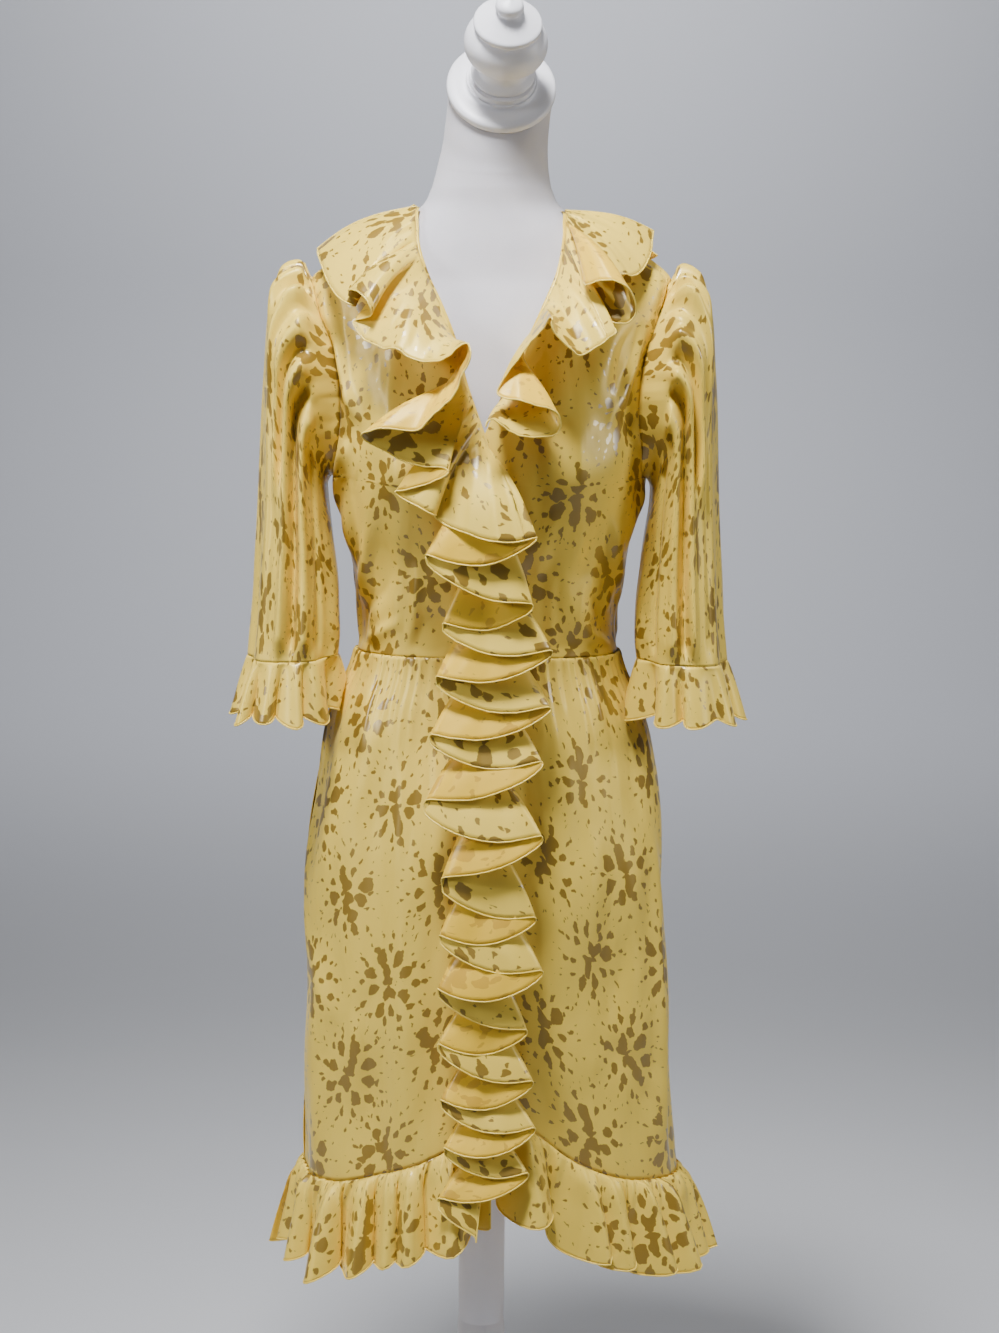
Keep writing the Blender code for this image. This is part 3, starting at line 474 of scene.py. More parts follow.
def add(tree, kind, *sources, **settings):
    """Adds a node. Sources feed its inputs in order: a node (its first output), a socket, a value or None.

    Settings are properties of the node, or inputs by name with _ for a space, fed in the same way.
    """
    node = tree.nodes.new("ShaderNode" + kind)
    for key, value in settings.items():
        if hasattr(node, key):
            setattr(node, key, value)
    named = {key.replace("_", " "): value for key, value in settings.items() if not hasattr(node, key)}
    for key, value in [*enumerate(sources), *named.items()]:
        if isinstance(value, bpy.types.Node):
            value = value.outputs[0]
        if isinstance(value, bpy.types.NodeSocket):
            tree.links.new(value, node.inputs[key])
        elif value is not None:
            node.inputs[key].default_value = value
    return node


def new_material(name):
    material = bpy.data.materials.new(name)
    material.use_nodes = True
    material.node_tree.nodes.clear()
    return material, material.node_tree


print("pale gold in linear light:", [round(x, 3) for x in linear("#EFCE54")])

# %% [markdown]
# ## The woven bursts
#
# Jacquard silk has its pattern in the weave: figures of floating threads on a satin ground. Here they are
# bursts of a lobed heart, petals, drops and specks, some 60 mm wide and 90 mm tall. A picture of them would
# blur close up, so they are worked out from distances: two lattices of cells, the second between the first,
# and in each cell rings of drops whose places and sizes come from white noise.

# %% Sizes of the bursts
BURST_WIDE, BURST_HIGH = 0.102, 0.176  # metres from one burst to the next in a lattice, across and up
BURST_TALL = 0.80  # a burst is taller than wide by the inverse of this
BURST_SOFT = 0.0002  # metres over which a figure's edge fades
BURST_MIDDLE, BURST_SHAKE = 0.46, 0.08  # where a burst sits, in shares of its cell, and how unevenly
UPRIGHT, BURST_TURN = math.pi / 2 - 0.6, 1.2  # a heart stands upright, give or take 0.6 radians
HEART, HEART_TWO, HEART_FIVE = 0.0092, 0.0056, 0.0034  # radius of the heart, and how deep its lobes are
DROP_SIDEWAYS = 0.34  # how far a drop strays sideways, in shares of its own room
DROP_SMALLEST, DROP_RANGE = 0.45, 0.75  # sizes of the drops run from the first to the sum of both
DROP_TAPER = 0.4  # how much wider a drop is outside than in its middle
DROP_RINGS = (
    # drops, then metres: how far out, length, width, then twist in radians, and metres that they scatter
    (8, 0.0200, 0.0150, 0.0112, 0.3, 0.007),
    (12, 0.0290, 0.0088, 0.0062, 1.1, 0.007),
    (17, 0.0370, 0.0058, 0.0036, 0.4, 0.008),
    (21, 0.0435, 0.0038, 0.0023, 0.9, 0.008),
)
print("drops in a burst:", sum(drops[0] for drops in DROP_RINGS))


# %% Ring of drops
def ring_of_drops(tree, radius, turned, column, row, drops):
    """Drops round the heart, narrow inside and wide outside, each with its own place and size."""
    count, far, length, width, twist, scatter = drops
    share = add(tree, "Math", turned, count / TURN, twist * count / TURN, operation="MULTIPLY_ADD")
    spoke = add(tree, "CombineXYZ", add(tree, "Math", share, operation="FLOOR"), row, column)
    luck = add(tree, "TexWhiteNoise", spoke, noise_dimensions="3D")
    lots = add(tree, "SeparateXYZ", luck.outputs["Color"])
    stray = (DROP_SIDEWAYS, -0.5 - DROP_SIDEWAYS / 2)
    nudge = add(tree, "Math", lots.outputs["X"], *stray, operation="MULTIPLY_ADD")
    within = add(tree, "Math", add(tree, "Math", share, operation="FRACT"), nudge, operation="ADD")
    room = add(tree, "Math", radius, TURN / count, operation="MULTIPLY")
    aside = add(tree, "Math", add(tree, "Math", within, room, operation="MULTIPLY"), operation="ABSOLUTE")
    centre = add(tree, "Math", lots.outputs["Y"], scatter, far - scatter / 2, operation="MULTIPLY_ADD")
    size = add(tree, "Math", lots.outputs["Z"], DROP_RANGE, DROP_SMALLEST, operation="MULTIPLY_ADD")
    reach = add(tree, "Math", size, length / 2, operation="MULTIPLY")
    beyond = add(tree, "Math", radius, centre, operation="SUBTRACT")
    along = add(tree, "Math", beyond, reach, operation="DIVIDE")
    held = add(tree, "Clamp", along, -1.0, 1.0)
    squared = add(tree, "Math", held, held, operation="MULTIPLY")
    rounded = add(tree, "Math", add(tree, "Math", 1.0, squared, operation="SUBTRACT"), operation="SQRT")
    taper = add(tree, "Math", held, DROP_TAPER, 1.0, operation="MULTIPLY_ADD")
    breadth = add(tree, "Math", size, width / 2, operation="MULTIPLY")
    tapered = add(tree, "Math", rounded, taper, operation="MULTIPLY")
    half = add(tree, "Math", tapered, breadth, operation="MULTIPLY")
    inner = add(tree, "Math", half, aside, operation="SUBTRACT")
    return add(tree, "Math", inner, BURST_SOFT * 2, operation="SUBTRACT")


# %% Woven bursts
def burst_mask(tree, place, shift):
    """How far inside a woven figure each place is, below zero outside. shift moves the lattice."""
    scaled = add(tree, "VectorMath", place, (BURST_WIDE, BURST_HIGH, 1.0), operation="DIVIDE")
    lattice = add(tree, "VectorMath", scaled, (shift, shift, 0.0), operation="ADD")
    corner = add(tree, "VectorMath", lattice, operation="FLOOR")
    cell = add(tree, "SeparateXYZ", corner)
    seed = add(tree, "CombineXYZ", cell.outputs["X"], cell.outputs["Y"], shift)
    random = add(tree, "TexWhiteNoise", seed, noise_dimensions="3D")
    lots = random.outputs["Color"]
    middle = add(tree, "VectorMath", lots, [BURST_SHAKE] * 3, [BURST_MIDDLE] * 3, operation="MULTIPLY_ADD")
    inside = add(tree, "VectorMath", lattice, operation="FRACTION")
    offset = add(tree, "VectorMath", inside, middle, operation="SUBTRACT")
    cell_size = (BURST_WIDE, BURST_HIGH * BURST_TALL, 0.0)
    spot = add(tree, "VectorMath", offset, cell_size, operation="MULTIPLY")
    radius = add(tree, "VectorMath", spot, operation="LENGTH").outputs["Value"]
    sides = add(tree, "SeparateXYZ", spot)
    bearing = add(tree, "Math", sides.outputs["Y"], sides.outputs["X"], operation="ARCTAN2")
    spin = add(tree, "Math", random.outputs["Value"], BURST_TURN, UPRIGHT, operation="MULTIPLY_ADD")
    turned = add(tree, "Math", bearing, spin, operation="ADD")

    depth = HEART
    phase = add(tree, "Math", add(tree, "SeparateXYZ", lots).outputs["Z"], TURN, operation="MULTIPLY")
    for lobes, deep, start in ((2, HEART_TWO, 0.0), (5, HEART_FIVE, phase)):
        lobe = add(tree, "Math", turned, lobes, start, operation="MULTIPLY_ADD")
        wave = add(tree, "Math", lobe, operation="COSINE")
        depth = add(tree, "Math", wave, deep, depth, operation="MULTIPLY_ADD")
    mask = add(tree, "Math", depth, radius, operation="SUBTRACT")
    for drops in DROP_RINGS:
        ring = ring_of_drops(tree, radius, turned, cell.outputs["X"], cell.outputs["Y"], drops)
        mask = add(tree, "Math", mask, ring, operation="MAXIMUM")
    return mask


print("bursts in a square metre of silk:", round(2 / (BURST_WIDE * BURST_HIGH)))

# %% [markdown]
# ## Silk jacquard
#
# The ground is satin: long threads side by side, so light spreads across them in a soft band, which an
# anisotropic highlight gives. The figures are woven the other way and are darker and glossier. The reverse
# shows the same figures with little contrast, in a deeper gold that is painted shade: it stands in for the
# warm shade and the light through the silk under the ruffles. Silk also has a faint pale sheen at grazing
# angles.

# %% Silk
# Patterns are given as repeats in a metre of cloth
EDGE_WOBBLE, EDGE_WOBBLE_BY = 120.0, 0.0085  # 8 mm: how a figure's outline strays, and by how many metres
SPECKS, SPECK_CLOUDS = 115.0, 26.0  # loose specks 9 mm apart, in clouds 38 mm across
SPECK_SHARE, SPECK_SIZE, SPECK_DEPTH = 0.53, 0.8, 0.010  # how much is bare, then size and depth of the mask
THREADS = 900.0  # grain of the threads, 1.1 mm: ten times too coarse, so that it shows at all
RIPPLES, RIPPLE_STRETCH = 26.0, 0.30  # soft ripples of the cloth 38 mm apart, and longer along it
RIPPLE_DEPTH, THREAD_DEPTH = 0.0065, 0.0003
SILK_IOR = 1.54  # as for the fibres of silk


def make_silk(name, ground, figure, base_rough, figure_rough, gloss):
    """Silk jacquard: a soft satin ground with darker, glossier woven bursts."""
    material, tree = new_material(name)
    place = add(tree, "UVMap", uv_map=CLOTH_MAP)
    wobble = add(tree, "TexNoise", Vector=place, Scale=EDGE_WOBBLE, Detail=2.0)
    strayed = (EDGE_WOBBLE_BY, EDGE_WOBBLE_BY, 0.0)
    shifted = add(tree, "VectorMath", wobble.outputs["Color"], strayed, place, operation="MULTIPLY_ADD")
    masks = [burst_mask(tree, shifted, shift) for shift in (0.0, 0.5)]
    bursts = add(tree, "Math", *masks, operation="MAXIMUM")
    dots = add(tree, "TexVoronoi", Vector=shifted, Scale=SPECKS, Randomness=1.0)
    clouds = add(tree, "TexNoise", Vector=place, Scale=SPECK_CLOUDS, Detail=0.0)
    bare = add(tree, "Math", clouds.outputs["Fac"], SPECK_SHARE, operation="SUBTRACT")
    size = add(tree, "Math", bare, SPECK_SIZE, operation="MULTIPLY")
    speck = add(tree, "Math", size, dots.outputs["Distance"], operation="SUBTRACT")
    specks = add(tree, "Math", speck, SPECK_DEPTH, operation="MULTIPLY")
    inside = add(tree, "Math", bursts, specks, operation="MAXIMUM")
    woven = add(tree, "MapRange", inside, From_Min=-BURST_SOFT, From_Max=BURST_SOFT)
    colour = add(tree, "Mix", woven, data_type="RGBA", A=linear(ground), B=linear(figure))
    stretched = add(tree, "VectorMath", place, (1.0, RIPPLE_STRETCH, 1.0), operation="MULTIPLY")
    ripples = add(tree, "TexNoise", Vector=stretched, Scale=RIPPLES, Detail=1.5, Distortion=0.3)
    soft = add(tree, "Bump", Height=ripples.outputs["Fac"], Strength=1.0, Distance=RIPPLE_DEPTH)
    grain = add(tree, "TexNoise", Vector=place, Scale=THREADS, Detail=2.0)
    bump = add(tree, "Bump", Height=grain.outputs["Fac"], Normal=soft, Strength=0.10, Distance=THREAD_DEPTH)
    shader = add(
        tree,
        "BsdfPrincipled",
        Base_Color=colour.outputs["Result"],
        Roughness=add(tree, "MapRange", woven, To_Min=base_rough, To_Max=figure_rough),
        IOR=SILK_IOR,
        Normal=bump,
        Tangent=add(tree, "Tangent", direction_type="UV_MAP", uv_map=CLOTH_MAP),
        Anisotropic=0.8,
        Anisotropic_Rotation=0.25,
        Specular_IOR_Level=add(tree, "MapRange", woven, To_Min=0.5, To_Max=gloss),
        Specular_Tint=linear("#FFE9A2"),
        Coat_Weight=add(tree, "MapRange", woven, To_Min=0.05, To_Max=0.7 * gloss),
        Coat_Roughness=0.30,
        Coat_IOR=SILK_IOR,
        Sheen_Weight=0.10,
        Sheen_Roughness=0.35,
        Sheen_Tint=linear("#FFE9A8"),
    )
    add(tree, "OutputMaterial", shader)
    return material


silk = make_silk("silk_jacquard", "#EFCE54", "#8E7025", 0.38, 0.32, 1.0)
# The reverse's deeper gold is painted shade: it stands in for the warm shade and light through the silk under
# the ruffles.
silk_reverse_painted_shade = make_silk("silk_jacquard_reverse_painted_shade", "#F0C33A", "#D5A838", 0.40, 0.38, 0.3)
print("silks:", silk.name, silk_reverse_painted_shade.name)

# %% [markdown]
# ## Rolled hems
#
# A free edge of light silk is rolled over and sewn with small stitches. At this size only the ground of the
# weave shows, a little paler where it is stretched, with an uneven surface from the stitches.

# %% Rolled hem
STITCHES = 500.0  # stitches in a metre, so 2 mm each


def make_hem():
    """Rolled silk: a plain satin edge with a fine, uneven surface."""
    material, tree = new_material("silk_hem")
    place = add(tree, "UVMap", uv_map=CLOTH_MAP)
    stitches = add(tree, "TexNoise", Vector=place, Scale=STITCHES, Detail=1.0)
    bump = add(tree, "Bump", Height=stitches.outputs["Fac"], Strength=0.3, Distance=0.0004)
    gold = linear("#F9DA5C")
    add(tree, "OutputMaterial", add(tree, "BsdfPrincipled", gold, Roughness=0.36, IOR=SILK_IOR, Normal=bump))
    return material


silk_hem = make_hem()
print("hem:", silk_hem.name)

# %% [markdown]
# ## Jersey and paint
#
# The form is covered in knitted white jersey, matt and slightly fuzzy, with a tone that varies a little. Its
# cap, finial, pole and base are turned wood under white satin paint, smooth but for faint brush marks.

# %% Jersey and paint
# Patterns are given as repeats in a metre
KNIT, JERSEY_CLOUDS = 1400.0, 40.0  # loops 0.7 mm apart, about their real size, and tones 25 mm across
BRUSH_MARKS = 60.0  # 17 mm apart


def make_jersey():
    """Knitted jersey: matt, with a soft sheen of loose fibres."""
    material, tree = new_material("white_jersey")
    place = add(tree, "TexCoord").outputs["Object"]
    knit = add(tree, "TexNoise", Vector=place, Scale=KNIT, Detail=2.0)
    clouds = add(tree, "TexNoise", Vector=place, Scale=JERSEY_CLOUDS, Detail=3.0)
    greys = {"A": linear("#C4C1C7"), "B": linear("#D0CDD1")}
    white = add(tree, "Mix", clouds.outputs["Fac"], data_type="RGBA", **greys).outputs["Result"]
    bump = add(tree, "Bump", Height=knit.outputs["Fac"], Strength=0.35, Distance=0.0004)
    shader = add(tree, "BsdfPrincipled", white, Roughness=0.85, Normal=bump, Sheen_Weight=0.2)
    add(tree, "OutputMaterial", shader)
    return material


def make_paint():
    """Satin paint on turned wood: a soft highlight that brush marks break up a little."""
    material, tree = new_material("white_paint")
    place = add(tree, "TexCoord").outputs["Object"]
    brushed = add(tree, "TexNoise", Vector=place, Scale=BRUSH_MARKS, Detail=4.0).outputs["Fac"]
    rough = add(tree, "MapRange", brushed, To_Min=0.32, To_Max=0.46)
    bump = add(tree, "Bump", Height=brushed, Strength=0.15, Distance=0.0003)
    white = linear("#E9E8EC")
    add(tree, "OutputMaterial", add(tree, "BsdfPrincipled", white, Roughness=rough, IOR=1.5, Normal=bump))
    return material


jersey, paint = make_jersey(), make_paint()
print("form:", jersey.name, paint.name)

# %% [markdown]
# ## The form and its stand
#
# The torso is padded and covered, and the cap, finial, pole and base are turned on a lathe. So the torso is a
# stack of level sections, and each turned piece is one outline swept round. The neck leans forward to its
# cap. The base is plain, because the photograph doesn't show it.

# %% Form tables
FORM_INSET = 0.0009  # how far this finer skin lies inside the solid's, so that the cloth clears it
TOUCH = 0.0003  # gap between two turned pieces
POLE_JOINT, HIP_BOTTOM, POLE_RADIUS = 0.312, 0.800, 0.0242
BASE_RADIUS, BASE_HEIGHT = 0.190, 0.030
CAP_ROLL = math.radians(6)  # how far the cap tips to the wearer's left
NECK = Table(
    "height centre_x centre_y lean half_width half_depth",
    (1.492, 0.001, 0.003, 10, 0.0545, 0.0480),
    (1.512, 0.003, 0.001, 22, 0.0515, 0.0480),
    (1.534, 0.005, -0.002, 34, 0.0505, 0.0500),
    (1.554, 0.007, -0.004, 43, 0.0505, 0.0530),
    (1.566, 0.008, -0.005, 49, 0.0515, 0.0560),
)
# Outlines of the turned pieces: radius and height of each point, in metres
CAP_OUTLINE = (
    (0.0490, 0.0000),
    (0.0545, 0.0015),
    (0.0555, 0.0050),
    (0.0540, 0.0085),
    (0.0480, 0.0105),
    (0.0370, 0.0115),
    (0.0360, 0.0160),
    (0.0340, 0.0165),
    (0.0335, 0.0210),
)
FINIAL_OUTLINE = (
    (0.0300, 0.0213),
    (0.0310, 0.0250),
    (0.0280, 0.0280),
    (0.0245, 0.0310),
    (0.0240, 0.0380),
    (0.0290, 0.0440),
    (0.0370, 0.0520),
    (0.0400, 0.0620),
    (0.0385, 0.0720),
    (0.0330, 0.0810),
    (0.0300, 0.0840),
    (0.0325, 0.0870),
    (0.0320, 0.0910),
    (0.0270, 0.0940),
    (0.0180, 0.0990),
    (0.0120, 0.1040),
    (0.0135, 0.1090),
    (0.0110, 0.1150),
    (0.0005, 0.1185),
)
print("neck:", len(NECK.rows), "sections")

# %% Pole and base tables
UPPER_POLE_OUTLINE = (
    (0.0185, POLE_JOINT + 0.0002),
    (0.0215, POLE_JOINT + 0.0030),
    (POLE_RADIUS, POLE_JOINT + 0.0140),
    (POLE_RADIUS, HIP_BOTTOM - 0.0160),
    (0.0340, HIP_BOTTOM - 0.0120),
    (0.0340, HIP_BOTTOM - TOUCH),
)
LOWER_POLE_OUTLINE = (
    (0.0400, BASE_HEIGHT + TOUCH),
    (0.0410, 0.0360),
    (0.0360, 0.0420),
    (0.0280, 0.0500),
    (0.0225, 0.0750),
    (0.0210, 0.1300),
    (0.0225, 0.2000),
    (0.0245, 0.2450),
    (0.0250, 0.2750),
    (0.0235, 0.2950),
    (0.0195, POLE_JOINT - 0.0060),
    (0.0180, POLE_JOINT - 0.0002),
)
BASE_OUTLINE = (
    (BASE_RADIUS - 0.003, 0.0000),
    (BASE_RADIUS, 0.0030),
    (BASE_RADIUS, 0.0130),
    (BASE_RADIUS - 0.003, 0.0180),
    (BASE_RADIUS - 0.012, 0.0210),
    (BASE_RADIUS - 0.016, 0.0245),
    (BASE_RADIUS - 0.030, 0.0285),
    (BASE_RADIUS - 0.045, BASE_HEIGHT),
)
print("base:", 2 * BASE_RADIUS, "m across")

# %% Form makers
TORSO_SIDES, TORSO_ROWS, NECK_ROWS = 120, 150, 24
TURNED_SIDES, OUTLINE_STEPS = 96, 5
SHARP_FROM = math.radians(45)  # edges sharper than this stay sharp


def neck_place(height):
    """Where a slice of the neck lies: its middle, and how it leans."""
    x, y, lean = (float(NECK.at(column, height)) for column in ("centre_x", "centre_y", "lean"))
    roll = Matrix.Rotation(CAP_ROLL * lean / NECK.rows[-1][3], 4, "Y")
    return Matrix.Translation((x, y, height)) @ roll @ Matrix.Rotation(math.radians(lean), 4, "X")


def moved(points, place):
    return points @ np.array(place.to_3x3()).T + np.array(place.translation)


def solid_of(name, rings, material):
    """A closed solid from rings of points, with a fan of triangles over each end."""
    rows, columns = rings.shape[:2]
    sides, _ = grid_faces(rows, columns, closed=True)
    points = np.concatenate([rings.reshape(-1, 3), [rings[0].mean(axis=0), rings[-1].mean(axis=0)]])
    here = np.arange(columns)
    ahead = (here + 1) % columns
    last = (rows - 1) * columns
    bottom = np.stack([ahead, here, np.full(columns, rows * columns)], axis=1)
    lid = np.stack([here + last, ahead + last, np.full(columns, rows * columns + 1)], axis=1)
    faces = sides.tolist() + bottom.tolist() + lid.tolist()
    thing = mesh_object(name + "_fine", points, faces, material)
    thing.data.set_sharp_from_angle(angle=SHARP_FROM)
    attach(thing, "root")
    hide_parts(name)
print("edges sharper than", round(math.degrees(SHARP_FROM)), "degrees stay sharp")


# %% Torso and turned pieces
def make_torso():
    turn = np.linspace(0, TURN, TORSO_SIDES, endpoint=False)
    levels = np.linspace(HIP_BOTTOM, FORM.rows[-1][0], TORSO_ROWS)
    rings = [on_form(turn, height + 0 * turn, -FORM_INSET + 0 * turn) for height in levels]
    for height in np.linspace(NECK.rows[0][0], NECK.rows[-1][0], NECK_ROWS):
        wide, deep = NECK.at("half_width", height), NECK.at("half_depth", height)
        rings.append(moved(pointed(wide * np.sin(turn), -deep * np.cos(turn), 0 * turn), neck_place(height)))
    solid_of("form_torso", np.array(rings), jersey)


def smooth_outline(outline):
    """The turned outline, with rounded runs between its points."""
    points = np.array(outline)
    fine = [points[0]]
    for i, (start, end) in enumerate(zip(points, points[1:])):
        before, after = points[max(i - 1, 0)], points[min(i + 2, len(points) - 1)]
        for t in np.linspace(0, 1, OUTLINE_STEPS + 1)[1:]:
            fine.append(cubic(t, start, end, (end - before) * 0.5, (after - start) * 0.5))
    radius, height = np.array(fine).T
    return np.maximum(radius, 0)[:, None], height[:, None]


def lathe(name, outline, place=None):
    radius, height = smooth_outline(outline)
    turn = np.linspace(0, TURN, TURNED_SIDES, endpoint=False)
    rings = pointed(radius * np.sin(turn), -radius * np.cos(turn), height + 0 * turn)
    solid_of(name, rings if place is None else moved(rings, place), paint)


make_torso()
on_neck = neck_place(NECK.rows[-1][0]) @ Matrix.Translation((0, 0, TOUCH))
lathe("form_neck_cap", CAP_OUTLINE, on_neck @ Matrix.Diagonal((0.96, 1.04, 1.0, 1.0)))
lathe("form_finial", FINIAL_OUTLINE, on_neck)
lathe("form_pole_upper", UPPER_POLE_OUTLINE)
lathe("form_pole_lower", LOWER_POLE_OUTLINE)
lathe("form_base", BASE_OUTLINE)
print("form pieces made")

# %% [markdown]
# ## Bodice
#
# The wearer's right front laps over the left. Both run from the V neck's edge to the side seam, the armhole
# and the shoulder seam, and the back is one piece. Cut patterns could be sewn by a simulation, but each piece
# can also be read straight off the skin between its two edges. The cloth is then drawn in at each seam, so
# that the seams show as grooves, and darts run up from the waist.

# %% Bodice tables
RIGHT_EDGE = Table(
    "height x",
    (1.010, 0.004),
    (1.100, 0.006),
    (1.200, 0.005),
    (1.228, 0.001),
    (1.250, -0.007),
    (1.290, -0.021),
    (1.330, -0.032),
    (1.360, -0.045),
    (1.390, -0.059),
    (1.420, -0.068),
    (1.453, -0.068),
)
LEFT_EDGE = Table(
    "height x",
    (1.010, -0.074),
    (1.100, -0.056),
    (1.190, -0.030),
    (1.225, -0.012),
    (1.250, 0.000),
    (1.285, 0.015),
    (1.320, 0.030),
    (1.357, 0.048),
    (1.390, 0.062),
    (1.420, 0.068),
    (1.453, 0.068),
)
ARMHOLE = Table(
    "height front back",
    (1.190, 0.1530, 0.1530),
    (1.202, 0.1480, 0.1500),
    (1.225, 0.1455, 0.1490),
    (1.260, 0.1450, 0.1500),
    (1.300, 0.1480, 0.1520),
    (1.335, 0.1550, 0.1570),
    (1.362, 0.1640, 0.1650),
    (1.378, 0.1710, 0.1715),
    (1.386, 0.1755, 0.1755),
)
SEAM_DIP, SIDE_REACH, END_REACH = 0.0004, 0.0022, 0.0025  # depth of a seam's groove, and its half widths
CREASE_DEPTH, BODICE_SOFTNESS = 3.0, 3.0  # how much deeper creases and waves are here than their rows say
DEEPEST_DENT = 0.0020  # no crease goes in further than this, or it would touch the form
ROW_SLACK = 0.001  # rows this near to an end of the armhole belong to it
BODICE_ROWS, BODICE_COLUMNS = 137, {"right": 66, "left": 76, "back": 110}
print("bodice edges:", len(RIGHT_EDGE.rows), "and", len(LEFT_EDGE.rows), "points")


# %% Bodice
def bodice_side(height, side, behind=False):
    """The compass angle of a panel's outer edge: the side seam, and above it the armhole."""
    seam = angle_at(ARMHOLE.at("back" if behind else "front", height), height, behind)
    angle = np.where((height >= ARMPIT - ROW_SLACK) & (height <= SHOULDER_TIP), seam, np.pi / 2)
    slip = 0.5 * SEAM / FORM.at("front", height)
    return side * (angle + slip if behind else angle - slip)


def drawn_in(grid, share):
    """How near each point is to the piece's side seams: 1 at a seam, next to nothing from 5 mm away."""
    width = np.linalg.norm(np.diff(grid, axis=1), axis=-1).sum(axis=1)[:, None]
    return hump(np.minimum(share, 1 - share)[None, :] * width, SIDE_REACH)


def bodice_grid(start, end, columns, lapped):
    share = np.linspace(0, 1, columns)
    theta = start[:, None] + (end - start)[:, None] * share
    rows = heights[:, None] + 0 * theta
    height = rows + (waist_height(theta) - WAIST) * (1 - fade(rows, WAIST, 1.12))
    out = cloth_out(height)
    if lapped:
        out = out + lap_out(section(theta, height)[..., 0])
    flat = on_form(theta, height, out)
    calm = fade(height, WAIST + 0.004, WAIST + 0.02)
    loose = CREASE_DEPTH * creases(theta, height, CREASES_BODICE)
    loose = (loose + BODICE_SOFTNESS * softness(theta * AROUND, height)) * calm
    puff = np.maximum(loose + darts(theta, height), -DEEPEST_DENT)
    seam = drawn_in(flat, share) + hump(height - waist_height(theta), END_REACH)
    return on_form(theta, height, out + puff - SEAM_DIP * np.clip(seam, 0, 1))


heights = np.linspace(WAIST, NECK_TOP, BODICE_ROWS)
right_inner, right_outer = angle_at(RIGHT_EDGE.at("x", heights), heights), bodice_side(heights, -1)
left_inner, left_outer = angle_at(LEFT_EDGE.at("x", heights), heights), bodice_side(heights, 1)
back_left, back_right = bodice_side(heights, 1, True), TURN + bodice_side(heights, -1, True)
right_front = bodice_grid(right_outer, right_inner, BODICE_COLUMNS["right"], True)
left_front = bodice_grid(left_inner, left_outer, BODICE_COLUMNS["left"], False)
back = bodice_grid(back_left, back_right, BODICE_COLUMNS["back"], False)
cloth("bodice_right_front", right_front, level=True)
cloth("bodice_left_front", left_front, level=True)
cloth("bodice_back", back, hems=[("row", -1)], level=True)
print("bodice:", [grids[n].shape[:2] for n in grids])

# %% [markdown]
# ## Sleeves
#
# A sleeve is a tube, gathered at its head where it is sewn into the armhole. It hangs empty in long folds.
# Each starts on the bodice's own armhole edge, so that the seam is closed all round, and then takes the shape
# of a table of sections. Short creases below the head are its gathers, and long ones are its folds.

# %% Sleeve tables
SLEEVE = Table(
    "along outer_x outer_z inner_x inner_z half_depth centre_y",
    (0.05, 0.1850, 1.3920, 0.1590, 1.1880, 0.077, 0.004),
    (0.12, 0.1990, 1.3880, 0.1615, 1.1810, 0.077, 0.003),
    (0.24, 0.2170, 1.3620, 0.1610, 1.1660, 0.073, 0.000),
    (0.38, 0.2240, 1.2940, 0.1580, 1.1460, 0.067, -0.004),
    (0.54, 0.2270, 1.2100, 0.1535, 1.1100, 0.063, -0.010),
    (0.70, 0.2300, 1.1300, 0.1495, 1.0740, 0.060, -0.017),
    (0.86, 0.2340, 1.0600, 0.1485, 1.0400, 0.058, -0.024),
    (1.00, 0.2380, 1.0120, 0.1500, 1.0150, 0.055, -0.030),
)
SLEEVE_FOLDS = {"count": 6, "depth": 0.045, "turn": 0.7, "ripples": 9, "ripple_depth": 0.020}
SLEEVE_CREASES = (
    # share round it, from and to along it, how far out in millimetres, half width in degrees
    (0.008, 0.02, 0.24, 3.4, 4.0),
    (0.030, 0.02, 0.17, -3.0, 3.0),
    (0.050, 0.02, 0.30, 3.6, 4.0),
    (0.074, 0.02, 0.15, -2.8, 3.0),
    (0.096, 0.02, 0.22, 3.0, 4.0),
    (0.120, 0.02, 0.14, -2.2, 3.0),
    (0.145, 0.02, 0.18, 2.2, 4.0),
    (0.980, 0.02, 0.18, -3.0, 3.0),
    (0.958, 0.02, 0.26, 3.4, 4.0),
    (0.930, 0.02, 0.15, -2.6, 3.0),
    (0.900, 0.02, 0.20, 3.0, 4.0),
    (0.868, 0.02, 0.16, 2.2, 4.0),
    (0.110, 0.05, 0.42, 3.0, 5.0),
    (0.165, 0.04, 0.60, 4.0, 6.0),
    (0.190, 0.05, 0.55, -3.4, 4.0),
    (0.222, 0.06, 1.00, 5.0, 7.0),
    (0.262, 0.08, 1.00, -5.5, 4.5),
    (0.300, 0.08, 1.00, 4.2, 7.0),
    (0.360, 0.20, 1.00, -3.4, 6.0),
    (0.145, 0.30, 0.99, -2.2, 8.0),
    (0.700, 0.20, 0.96, 2.8, 10.0),
    (0.760, 0.30, 0.99, -2.6, 9.0),
    (0.830, 0.20, 0.97, 2.6, 10.0),
)
SLEEVE_RADIUS = 0.045  # what the creases' depths are a share of
SLEEVE_DEPTH = 1.6  # how much deeper the creases are than their rows say
SLEEVE_SOFTNESS = 12.0
SLEEVE_ROUND, SLEEVE_LONG = 0.28, 0.30  # metres of cloth round a sleeve and along it
SLEEVE_COLUMNS, HEAD_ROWS, ARM_ROWS, HEAD_END = 150, 34, 96, 0.24
LEAVE_SEAM = 0.075  # share of the sleeve's length over which it leaves the armhole's shape
print("sleeve creases:", len(SLEEVE_CREASES))


